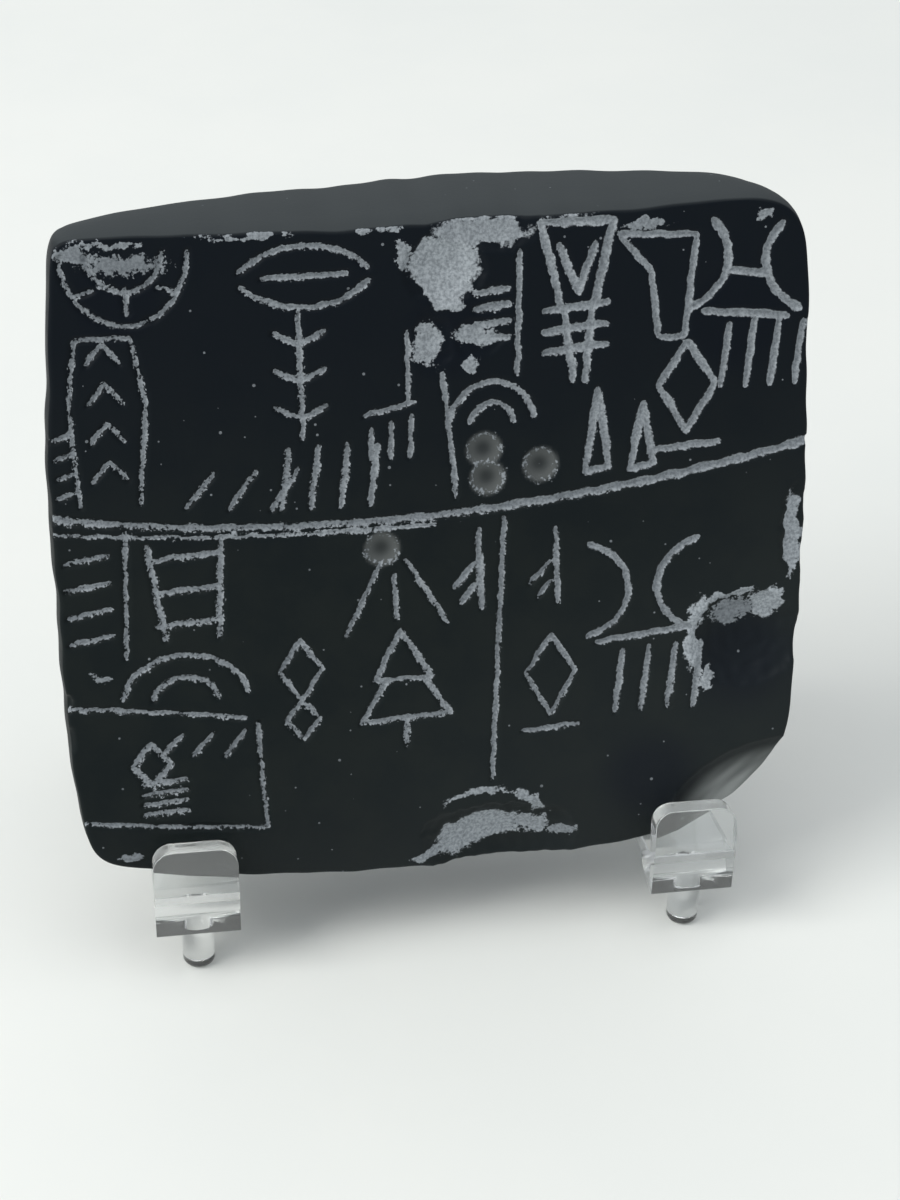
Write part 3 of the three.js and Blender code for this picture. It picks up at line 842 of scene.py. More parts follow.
@dataclass(frozen=True)
class FaceRelief:
    """Everything that is cut into the face or rubbed onto it."""

    form: TabletForm
    stroke: StrokeLook = StrokeLook()
    pit: PitLook = PitLook()
    waver: float = 0.21
    waver_size: float = 1.7
    unevenness: float = 0.05
    ripple: float = 0.07
    ripple_rate: float = 3.2
    ragged_size: float = 1.5
    rub_ragged: float = 0.9
    streak_tilt: float = 42.0
    streak_stretch: float = 0.16
    streak_size: float = 1.1
    painted_upper_shade: float = 0.85

    def strokes(self) -> list[tuple[Point, Point, float, float]]:
        """List every straight cut as its ends, its half width and its depth."""
        cuts = []
        for number, mark in enumerate(MARKS):
            width = self.stroke.width_of(number)
            for line in mark.lines():
                cuts += [(a, b, width, self.stroke.depth) for a, b in zip(line, line[1:])]
        for rule in RULES:
            line = rule.line()
            cuts += [(a, b, rule.half_width, rule.depth) for a, b in zip(line, line[1:])]
        return cuts

    def sample(self, x: Array, z: Array) -> FaceSample:
        """Work out the face at many places.

        Args:
            x: Places across.
            z: Places up.

        Returns:
            The depth behind the flat face, and what lies on it.
        """
        cut, chalk = self._cut_strokes(x, z)
        face = FaceSample(
            depth=self.form.front_depth(z) + cut + self.unevenness * wander(x, z, 7.0, Pattern.FACE),
            chalk=chalk,
            grain=self._stroke_grain(x, z),
            tone=self.stroke.tone + self.stroke.tone_patches * wander(x, z, 5.0, Pattern.FINE),
            gloom=self._gloom(x, z),
            bare=self._bare(x, z),
        )
        ragged_x = wander(x, z, self.ragged_size, Pattern.RAGGED_ACROSS)
        ragged_z = wander(x, z, self.ragged_size, Pattern.RAGGED_UP)
        self._sink_hollows(face, x, z, ragged_x, ragged_z)
        self._chalk_pits(face, x, z)
        self._rub_on(face, x + self.rub_ragged * ragged_x, z + self.rub_ragged * ragged_z)
        return face

    def _stroke_grain(self, x: Array, z: Array) -> Array:
        """Find how broken the chalk in the cuts is: flaky at the left, close at the right."""
        look = self.stroke
        patches = look.grain_patches * wander(x, z, 9.0, Pattern.FLAKING)
        return clamp_unit(look.grain - look.grain_across * x - look.grain_up * z + patches)

    def _cut_strokes(self, x: Array, z: Array) -> tuple[Array, Array]:
        """Cut the marks and the ruled lines with wavering edges.

        Args:
            x: Places across.
            z: Places up.

        Returns:
            The depth of the cuts, and how far inside a cut each place lies, -1 outside them.
        """
        wavered_x = x + self.waver * wander(x, z, self.waver_size, Pattern.WAVER_ACROSS)
        wavered_z = z + self.waver * wander(x, z, self.waver_size, Pattern.WAVER_UP)
        cut = np.zeros_like(x)
        chalk = np.full_like(x, -1.0)
        look = self.stroke
        for start, end, half_width, depth in self.strokes():
            near = self._near(wavered_x, wavered_z, start, end, 2.0 * half_width)
            distance, along = self._distance(wavered_x[near], wavered_z[near], start, end)
            swell = look.swell * np.sin(math.pi * clamp_unit(along)) ** 0.5
            inside = 1.0 - distance / (half_width * (look.end_share + swell))
            cut[near] = np.maximum(cut[near], depth * smooth_step(inside, -0.1, look.floor_starts))
            chalk[near] = np.maximum(chalk[near], inside)
        return cut, chalk

    def _sink_hollows(
        self, face: FaceSample, x: Array, z: Array, ragged_x: Array, ragged_z: Array
    ) -> None:
        """Sink the pits and the breaks, the breaks with ragged edges and rippled floors."""
        for scoop in PITS + BREAKS:
            level = self.form.front_depth(np.array(scoop.z))
            hollow = scoop.cut(x + scoop.ragged * ragged_x, z + scoop.ragged * ragged_z)
            radius = np.hypot(x - scoop.x, z - scoop.z)
            shell = self.ripple * np.sin(radius * self.ripple_rate + 2.0 * ragged_x)
            shell = shell * min(1.0, scoop.ragged * 2)
            face.depth = np.maximum(face.depth, level + hollow + shell * (hollow > 0))

    def _chalk_pits(self, face: FaceSample, x: Array, z: Array) -> None:
        """Leave a broken ring of chalk near the rim of each pit."""
        for pit in PITS:
            ring = self.pit.ring(self.pit.radius(pit, x, z))
            face.grain = np.where(ring > face.chalk, self.pit.grain, face.grain)
            face.tone = np.where(ring > face.chalk, self.pit.tone, face.tone)
            face.chalk = np.maximum(face.chalk, ring)

    @staticmethod
    def _rub_on(face: FaceSample, x: Array, z: Array) -> None:
        """Lay the rubbed patches of chalk over the cuts and breaks."""
        for rub in RUBS:
            cover = rub.cover(x, z)
            wins = cover > np.maximum(face.chalk, 0.0)
            face.grain = np.where(wins, rub.grain, face.grain)
            face.tone = np.where(wins, rub.tone, face.tone)
            face.chalk = np.maximum(face.chalk, cover)

    def _gloom(self, x: Array, z: Array) -> Array:
        """Find how dark and blue the black is: most over the upper half, which is painted shade, and in
        a few places.
        """
        gloom = np.zeros_like(x)
        for place in GLOOMS:
            gloom = np.maximum(gloom, place.over(x, z))
        return np.maximum(gloom, self.painted_upper_shade * smooth_step(z, -8.0, 34.0))

    def _bare(self, x: Array, z: Array) -> Array:
        """Find where the black is paled: a streaky painted sheen on the corner break, and a dull floor
        in the pits.
        """
        along, across = turned(x, z, self.streak_tilt)
        streak = wander(along * self.streak_stretch, across, self.streak_size, Pattern.STREAKS)
        broken = smooth_step(CORNER_BREAK.cut(x, z), 0.1, 2.8)
        bare = clamp_unit(broken * (0.85 + 0.6 * streak))
        for pit in PITS:
            bare = np.maximum(bare, self.pit.bare(self.pit.radius(pit, x, z)))
        return bare

    @staticmethod
    def _near(x: Array, z: Array, start: Point, end: Point, margin: float) -> Array:
        """Pick the places in the box round a cut."""
        low_x, high_x = sorted((start[0], end[0]))
        low_z, high_z = sorted((start[1], end[1]))
        across = (x > low_x - margin) & (x < high_x + margin)
        return across & (z > low_z - margin) & (z < high_z + margin)

    @staticmethod
    def _distance(x: Array, z: Array, start: Point, end: Point) -> tuple[Array, Array]:
        """Measure the distance to a cut, and the share of its length that is passed."""
        dx, dz = end[0] - start[0], end[1] - start[1]
        along = ((x - start[0]) * dx + (z - start[1]) * dz) / (dx * dx + dz * dz)
        held = clamp_unit(along)
        return np.hypot(x - start[0] - held * dx, z - start[1] - held * dz), along


# ------------------------------------------------------------------ node groups and finishes


@dataclass
class Graph:
    """A node tree with short calls for the nodes that the finishes use."""

    tree: bpy.types.NodeTree

    def add(self, kind: str, settings: dict | None = None, **inputs: object) -> bpy.types.Node:
        """Add a node, set it and feed its inputs.

        Args:
            kind: The node's type name.
            settings: Properties of the node itself.
            **inputs: Values or sockets by input name, with _ for a space, or i0, i1 by index.

        Returns:
            The node.
        """
        node = self.tree.nodes.new(kind)
        for name, value in (settings or {}).items():
            setattr(node, name, value)
        for name, value in inputs.items():
            is_index = name[0] == "i" and name[1:].isdigit()
            socket = node.inputs[int(name[1:])] if is_index else node.inputs[name.replace("_", " ")]
            if isinstance(value, bpy.types.NodeSocket):
                self.tree.links.new(value, socket)
            else:
                socket.default_value = value
        return node

    def math(self, operation: str, a: object, b: object = 0.0) -> bpy.types.NodeSocket:
        """Join two values by a Math node and give its output."""
        return self.add("ShaderNodeMath", {"operation": operation}, i0=a, i1=b).outputs[0]

    def blend(self, share: object, a: object, b: object) -> bpy.types.NodeSocket:
        """Blend two numbers by a share and give the result."""
        return self.add("ShaderNodeMix", {"data_type": "FLOAT"}, i0=share, i2=a, i3=b).outputs[0]

    def tint(self, share: object, a: object, b: object) -> bpy.types.NodeSocket:
        """Blend two colours by a share and give the result."""
        return self.add("ShaderNodeMix", {"data_type": "RGBA"}, i0=share, i6=a, i7=b).outputs[2]

    def ramp(self, value: object, low: float, high: float) -> bpy.types.NodeSocket:
        """Map low..high smoothly to 0..1."""
        node = self.add(
            "ShaderNodeMapRange", {"interpolation_type": "SMOOTHSTEP"},
            Value=value, From_Min=low, From_Max=high, To_Min=0.0, To_Max=1.0,
        )
        return node.outputs[0]

    def noise(
        self, place: object, scale: object, detail: float = 3.0, rough: float = 0.55
    ) -> bpy.types.NodeSocket:
        """Sample noise at a place; scale is in bumps to the metre."""
        node = self.add(
            "ShaderNodeTexNoise", None, Vector=place, Scale=scale, Detail=detail, Roughness=rough
        )
        return node.outputs[0]

    def bump(self, height: object, strength: float, distance: float) -> bpy.types.NodeSocket:
        """Turn a height into a normal; the distance is in metres."""
        node = self.add("ShaderNodeBump", None, Strength=strength, Distance=distance, Height=height)
        return node.outputs[0]

    def group(self, tree: bpy.types.NodeTree, **inputs: object) -> bpy.types.NodeOutputs:
        """Place a node group, feed its inputs and give its outputs.

        Args:
            tree: The group.
            **inputs: Its values or sockets by name.

        Returns:
            The group's outputs.
        """
        return self.add("ShaderNodeGroup", {"node_tree": tree}, **inputs).outputs

    def link(self, source: bpy.types.NodeSocket, target: bpy.types.NodeSocket) -> None:
        """Lead one socket into another."""
        self.tree.links.new(source, target)

    def object_place(self) -> bpy.types.NodeSocket:
        """Give the place in the object's own coordinates."""
        return self.add("ShaderNodeTexCoord").outputs["Object"]

    def attribute(self, name: str) -> bpy.types.NodeSocket:
        """Read a number from the mesh."""
        return self.add("ShaderNodeAttribute", {"attribute_name": name}).outputs["Fac"]


def shared_group(
    name: str, inputs: Iterable[tuple[str, str]], outputs: Iterable[tuple[str, str]]
) -> Graph:
    """Start a shader node group.

    Args:
        name: The group's name.
        inputs: The name and the kind, Float or Color, of each input.
        outputs: The name and the kind of each output.

    Returns:
        The group as a graph, with its input and output nodes in place.
    """
    tree = bpy.data.node_groups.new(name, "ShaderNodeTree")
    for label, kind in inputs:
        tree.interface.new_socket(label, in_out="INPUT", socket_type=f"NodeSocket{kind}")
    for label, kind in outputs:
        tree.interface.new_socket(label, in_out="OUTPUT", socket_type=f"NodeSocket{kind}")
    tree.nodes.new("NodeGroupInput")
    tree.nodes.new("NodeGroupOutput")
    return Graph(tree)


def group_ends(graph: Graph) -> tuple[bpy.types.NodeOutputs, bpy.types.NodeInputs]:
    """Give the sockets that come into a group and the ones that leave it."""
    entry = next(node for node in graph.tree.nodes if node.bl_idname == "NodeGroupInput")
    leave = next(node for node in graph.tree.nodes if node.bl_idname == "NodeGroupOutput")
    return entry.outputs, leave.inputs


def surface_grain_group() -> bpy.types.NodeTree:
    """Make the fine unevenness that every moulded or cast surface has.

    Returns:
        A group that takes Scale, Coarse and Fine, and puts out Height and Mottle.
    """
    graph = shared_group(
        "SurfaceGrain",
        (("Scale", "Float"), ("Coarse", "Float"), ("Fine", "Float")),
        (("Height", "Float"), ("Mottle", "Float")),
    )
    source, result = group_ends(graph)
    place = graph.object_place()
    fine = graph.noise(place, source["Scale"], detail=4.0, rough=0.6)
    wide_scale = graph.math("MULTIPLY", source["Scale"], 0.08)
    wide = graph.noise(place, wide_scale, detail=5.0, rough=0.62)
    fine_part = graph.math("MULTIPLY", fine, source["Fine"])
    wide_part = graph.math("MULTIPLY", wide, source["Coarse"])
    graph.link(graph.math("ADD", fine_part, wide_part), result["Height"])
    graph.link(graph.ramp(wide, 0.34, 0.66), result["Mottle"])
    return graph.tree


def chalk_film_group() -> bpy.types.NodeTree:
    """Make the chalk that clings where the mesh says so, with ragged and flaky edges.

    Returns:
        A group that takes Cover and Grain, and puts out Mask and Powder.
    """
    graph = shared_group(
        "ChalkFilm", (("Cover", "Float"), ("Grain", "Float")), (("Mask", "Float"), ("Powder", "Float"))
    )
    source, result = group_ends(graph)
    place = graph.object_place()
    crumbs = graph.noise(place, 2600.0, detail=3.0, rough=0.6)
    flakes = graph.noise(place, 950.0, detail=4.0, rough=0.65)
    crumb_part = graph.math("MULTIPLY", crumbs, 0.55)
    flake_part = graph.math("MULTIPLY", flakes, 0.45)
    broken = graph.math("SUBTRACT", graph.math("ADD", crumb_part, flake_part), 0.5)
    swing = graph.math("ADD", graph.math("MULTIPLY", source["Grain"], 2.6), 0.7)
    shift = graph.math("MULTIPLY", broken, swing)
    held = graph.math("SUBTRACT", source["Cover"], graph.math("MULTIPLY", source["Grain"], 0.38))
    graph.link(graph.ramp(graph.math("ADD", held, shift), 0.0, 0.22), result["Mask"])
    graph.link(graph.ramp(crumbs, 0.3, 0.68), result["Powder"])
    return graph.tree


def speck_group() -> bpy.types.NodeTree:
    """Make small specks that lie far apart.

    Returns:
        A group that takes Scale, Size and Share, and puts out Mask.
    """
    graph = shared_group(
        "Specks", (("Scale", "Float"), ("Size", "Float"), ("Share", "Float")), (("Mask", "Float"),)
    )
    source, result = group_ends(graph)
    cells = graph.add(
        "ShaderNodeTexVoronoi", {"feature": "F1"}, Vector=graph.object_place(), Scale=source["Scale"]
    )
    pick = graph.add("ShaderNodeSeparateColor", None, Color=cells.outputs["Color"])
    chosen = graph.math("LESS_THAN", pick.outputs[0], source["Share"])
    size = graph.math("MULTIPLY", graph.math("ADD", pick.outputs[1], 0.3), source["Size"])
    inside = graph.math("LESS_THAN", cells.outputs["Distance"], size)
    graph.link(graph.math("MULTIPLY", chosen, inside), result["Mask"])
    return graph.tree


@dataclass
class FinishKit:
    """The shared node groups, built once."""

    grain: bpy.types.NodeTree = field(default_factory=surface_grain_group)
    chalk: bpy.types.NodeTree = field(default_factory=chalk_film_group)
    specks: bpy.types.NodeTree = field(default_factory=speck_group)


def new_material(name: str) -> tuple[bpy.types.Material, Graph, bpy.types.Node]:
    """Start a material with only its shader.

    Args:
        name: The material's name.

    Returns:
        The material, its graph and its Principled shader.
    """
    material = bpy.data.materials.new(name)
    material.use_nodes = True
    graph = Graph(material.node_tree)
    shader = next(node for node in graph.tree.nodes if node.bl_idname == "ShaderNodeBsdfPrincipled")
    return material, graph, shader


@dataclass(frozen=True)
class BlackCastFinish:
    """Satin black casting, mottled, with painted shade over its upper face, dust and a painted sheen on
    top, a painted sheen on its corner break and chalk in its cuts and breaks.
    """

    black: Colour = (0.0050, 0.0085, 0.0095, 1.0)
    worn_black: Colour = (0.0080, 0.0115, 0.0115, 1.0)
    blue_black: Colour = (0.0015, 0.0038, 0.0075, 1.0)
    dust_and_sheen: Colour = (0.056, 0.064, 0.067, 1.0)
    # pale colour of the painted sheen on the corner break and of the dull pit floors
    dull_and_sheen_colour: Colour = (0.270, 0.285, 0.280, 1.0)
    chalk_low: Colour = (0.078, 0.089, 0.100, 1.0)
    chalk_high: Colour = (0.42, 0.455, 0.485, 1.0)
    roughness: float = 0.46
    mottled_roughness: float = 0.12
    dust_roughness: float = 0.72
    chalk_roughness: float = 0.92
    ior: float = 1.45
    specular: float = 0.13
    dust_and_sheen_strength: float = 0.75
    speck_strength: float = 0.55
    chalk_shade: float = 0.42
    bump_strength: float = 0.35
    bump_distance: float = 0.00012

    def build(self, kit: FinishKit) -> bpy.types.Material:
        """Make the material.

        Args:
            kit: The shared node groups.

        Returns:
            The material.
        """
        material, graph, shader = new_material("black_cast")
        grain = graph.group(kit.grain, Scale=1500.0, Coarse=1.4, Fine=0.7)
        base = graph.tint(grain["Mottle"], self.black, self.worn_black)
        # darker and bluer in a few places, and over the upper half as painted shade
        base = graph.tint(graph.attribute("gloom"), base, self.blue_black)
        # dust and a painted sheen where the surface faces up, and a faint painted sheen towards the
        # face's lower right
        dust_and_sheen = graph.attribute("dust_and_sheen")
        base = graph.tint(graph.math("MULTIPLY", dust_and_sheen, self.dust_and_sheen_strength), base, self.dust_and_sheen)
        # paint a pale streaky sheen on the corner break, and pale the dull floors of the pits
        base = graph.tint(graph.attribute("bare"), base, self.dull_and_sheen_colour)
        film = graph.group(kit.chalk, Cover=graph.attribute("chalk"), Grain=graph.attribute("grain"))
        specks = graph.group(kit.specks, Scale=680.0, Size=0.11, Share=0.20)
        powder = graph.blend(film["Powder"], self.chalk_shade, 1.0)
        tone = graph.math("MULTIPLY", graph.attribute("tone"), powder)
        chalk = graph.tint(tone, self.chalk_low, self.chalk_high)
        speck_mask = graph.math("MULTIPLY", specks["Mask"], self.speck_strength)
        mask = graph.math("MAXIMUM", film["Mask"], speck_mask)
        graph.link(graph.tint(mask, base, chalk), shader.inputs["Base Color"])
        mottled = graph.math("MULTIPLY", grain["Mottle"], self.mottled_roughness)
        matt = graph.math("ADD", mottled, self.roughness)
        matt = graph.blend(dust_and_sheen, matt, self.dust_roughness)
        graph.link(graph.blend(mask, matt, self.chalk_roughness), shader.inputs["Roughness"])
        height = graph.math("ADD", grain["Height"], graph.math("MULTIPLY", mask, film["Powder"]))
        graph.link(graph.bump(height, self.bump_strength, self.bump_distance), shader.inputs["Normal"])
        shader.inputs["IOR"].default_value = self.ior
        shader.inputs["Specular IOR Level"].default_value = self.specular
        return material


@dataclass(frozen=True)
class ClearPlasticFinish:
    """Clear moulded plastic with faint flow marks."""

    tint: Colour = (0.975, 0.985, 0.98, 1.0)
    flow_tint: Colour = (0.93, 0.95, 0.95, 1.0)
    roughness: float = 0.03
    ior: float = 1.49
    clearness: float = 0.94
    flow_roughness: float = 0.03
    bump_strength: float = 0.12
    bump_distance: float = 0.0001

    def build(self, kit: FinishKit) -> bpy.types.Material:
        """Make the material.

        Args:
            kit: The shared node groups.

        Returns:
            The material.
        """
        material, graph, shader = new_material("clear_plastic")
        grain = graph.group(kit.grain, Scale=900.0, Coarse=1.0, Fine=0.15)
        base = graph.tint(grain["Mottle"], self.tint, self.flow_tint)
        graph.link(base, shader.inputs["Base Color"])
        flow = graph.math("MULTIPLY", grain["Mottle"], self.flow_roughness)
        graph.link(graph.math("ADD", flow, self.roughness), shader.inputs["Roughness"])
        bump = graph.bump(grain["Height"], self.bump_strength, self.bump_distance)
        graph.link(bump, shader.inputs["Normal"])
        shader.inputs["Metallic"].default_value = 0.0
        shader.inputs["Transmission Weight"].default_value = self.clearness
        shader.inputs["IOR"].default_value = self.ior
        return material


@dataclass(frozen=True)
class PaleFloorFinish:
    """A plain pale matt floor with a faint unevenness."""

    pale: Colour = (0.80, 0.81, 0.78, 1.0)
    shade: Colour = (0.775, 0.79, 0.765, 1.0)
    roughness: float = 0.75

    def build(self, kit: FinishKit) -> bpy.types.Material:
        """Make the material.

        Args:
            kit: The shared node groups.

        Returns:
            The material.
        """
        material, graph, shader = new_material("pale_floor")
        grain = graph.group(kit.grain, Scale=120.0, Coarse=0.5, Fine=0.2)
        base = graph.tint(grain["Mottle"], self.pale, self.shade)
        graph.link(base, shader.inputs["Base Color"])
        shader.inputs["Roughness"].default_value = self.roughness
        return material


def finish_mesh(name: str, bm: bmesh.types.BMesh, material: bpy.types.Material) -> bpy.types.Object:
    """Turn a bmesh into an object at the origin and dress it.

    Args:
        name: The object's name.
        bm: The mesh, in metres in the row frame; it is freed.
        material: Its material.

    Returns:
        The object.
    """
    mesh = bpy.data.meshes.new(name)
    bm.to_mesh(mesh)
    bm.free()
    mesh.materials.append(material)
    piece = bpy.data.objects.new(name, mesh)
    bpy.context.scene.collection.objects.link(piece)
    return piece


# ------------------------------------------------------------------ the tablet


@dataclass
class Tablet:
    """The carved and weathered slab, as one closed mesh."""

    seat: Seat
    form: TabletForm = field(default_factory=TabletForm)
    columns: int = 288
    rows: int = 266
    back_columns: int = 60
    back_rows: int = 56
    back_inset: float = 7.5
    back_swell: float = 0.16
    back_grain: float = 0.05
    chalk_over_edge: float = 0.5
    bare_over_edge: float = 0.6
    low_right_sheen: float = 0.17
    low_right_sheen_reach: float = 55.0

    def build(self, material: bpy.types.Material) -> bpy.types.Object:
        """Build the slab and dress it.

        Args:
            material: The black casting's finish.

        Returns:
            The piece, in place of the plain solid.
        """
        bm = bmesh.new()
        names = ("turn", "edge", "chalk", "grain", "tone", "gloom", "bare", "dust_and_sheen")
        layers = {name: bm.verts.layers.float.new(name) for name in names}
        last = self._sides(bm, layers, self._front(bm, layers))
        self._back(bm, last)
        bmesh.ops.recalc_face_normals(bm, faces=bm.faces)
        self._lay_dust_and_sheen(bm, layers)
        for name in ("turn", "edge"):
            bm.verts.layers.float.remove(bm.verts.layers.float[name])
        bm.transform(self.seat.to_row())
        for face in bm.faces:
            face.smooth = True
        piece = finish_mesh("carved_tablet", bm, material)
        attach(piece, BODY)
        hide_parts("tablet")
        return piece

    def _spread_grid(
        self, verts: Sequence[bmesh.types.BMVert], inset: float
    ) -> tuple[Array, Array, Array]:
        """Find where a square grid goes when it is stretched over the outline.

        Args:
            verts: The grid's vertices, from -1 to 1 in x and y.
            inset: How far the grid's edge stays inside the rim.

        Returns:
            The direction of each vertex from the middle, and its place across and up.
        """
        u = np.array([vert.co.x for vert in verts])
        w = np.array([vert.co.y for vert in verts])
        angle = np.arctan2(w * self.form.half_height, u * self.form.half_width)
        rim_x, rim_z = self.form.rim(angle)
        share = np.maximum(np.abs(u), np.abs(w)) * (1.0 - inset / np.hypot(rim_x, rim_z))
        return angle, rim_x * share, rim_z * share

    def _front(self, bm: bmesh.types.BMesh, layers: Layers) -> list[bmesh.types.BMEdge]:
        """Make the face, with its cuts and breaks, and give its outer edges."""
        bmesh.ops.create_grid(bm, x_segments=self.columns, y_segments=self.rows, size=1.0)
        verts = list(bm.verts)
        angle, x, z = self._spread_grid(verts, self.form.front_edge)
        sample = FaceRelief(self.form).sample(x, z)
        up = self.form.risen(x, sample.depth, z)
        kept = {
            "turn": angle, "edge": sample.depth, "chalk": sample.chalk, "grain": sample.grain,
            "tone": sample.tone, "gloom": sample.gloom, "bare": sample.bare,
        }
        for i, vert in enumerate(verts):
            vert.co = (x[i], sample.depth[i], up[i])
            for name, values in kept.items():
                vert[layers[name]] = values[i]
        return [edge for edge in bm.edges if edge.is_boundary]

    def _sides(
        self, bm: bmesh.types.BMesh, layers: Layers, edges: list[bmesh.types.BMEdge]
    ) -> list[bmesh.types.BMEdge]:
        """Draw the side out of the face's edge, ring by ring, and give the last ring's edges."""
        for number, ring in enumerate(self.form.rings()):
            made = bmesh.ops.extrude_edge_only(bm, edges=edges)["geom"]
            edges = [item for item in made if isinstance(item, bmesh.types.BMEdge) and item.is_boundary]
            verts = [item for item in made if isinstance(item, bmesh.types.BMVert)]
            rim_x, rim_z = self.form.rim(np.array([vert[layers["turn"]] for vert in verts]))
            front = np.array([vert[layers["edge"]] for vert in verts])
            share = 1.0 - ring.inset / np.hypot(rim_x, rim_z)
            x, z = rim_x * share, rim_z * share
            depth = ring.depth(front, self.form.back_depth(x, z))
            up = self.form.risen(x, depth, z)
            uneven = wander(x + up, depth + 0.4 * up, 5.0, Pattern.SIDE)
            uneven = self.form.side_unevenness * uneven / np.hypot(x, up)
            for i, vert in enumerate(verts):
                vert.co = (x[i] * (1.0 + uneven[i]), depth[i], up[i] * (1.0 + uneven[i]))
                if number > 0:
                    inside = 1.0 + vert[layers["chalk"]]
                    vert[layers["chalk"]] = self.chalk_over_edge * inside - 1.0
                    vert[layers["bare"]] *= self.bare_over_edge
        return edges

    def _back(self, bm: bmesh.types.BMesh, last: list[bmesh.types.BMEdge]) -> None:
        """Close the slab with its pillowed back, a coarser grid joined to the last ring."""
        made = bmesh.ops.create_grid(
            bm, x_segments=self.back_columns, y_segments=self.back_rows, size=1.0
        )
        verts = made["verts"]
        _, x, z = self._spread_grid(verts, self.back_inset)
        depth = self.form.back_depth(x, z) + self.back_swell * wander(x, z, 11.0, Pattern.BACK)
        depth = depth + self.back_grain * wander(x, z, 3.0, Pattern.FINE)
        up = self.form.risen(x, depth, z)
        for i, vert in enumerate(verts):
            vert.co = (x[i], depth[i], up[i])
        own = set(verts)
        rim = [edge for edge in bm.edges if edge.is_boundary and edge.verts[0] in own]
        bmesh.ops.bridge_loops(bm, edges=last + rim)

    def _lay_dust_and_sheen(self, bm: bmesh.types.BMesh, layers: Layers) -> None:
        """Lay dust, together with a painted sheen, on what faces up, and paint a faint sheen over the
        face towards its lower right.
        """
        bm.normal_update()
        up = Vector((0.0, math.sin(self.seat.lean), math.cos(self.seat.lean)))
        for vert in bm.verts:
            facing = smooth_step(np.array(vert.normal.dot(up)), 0.35, 0.95)
            low_right = np.array(0.6 * vert.co.x - vert.co.z)
            painted_sheen = self.low_right_sheen * smooth_step(low_right, 0.0, self.low_right_sheen_reach)
            vert[layers["dust_and_sheen"]] = float(max(facing, painted_sheen))


# ------------------------------------------------------------------ the stand


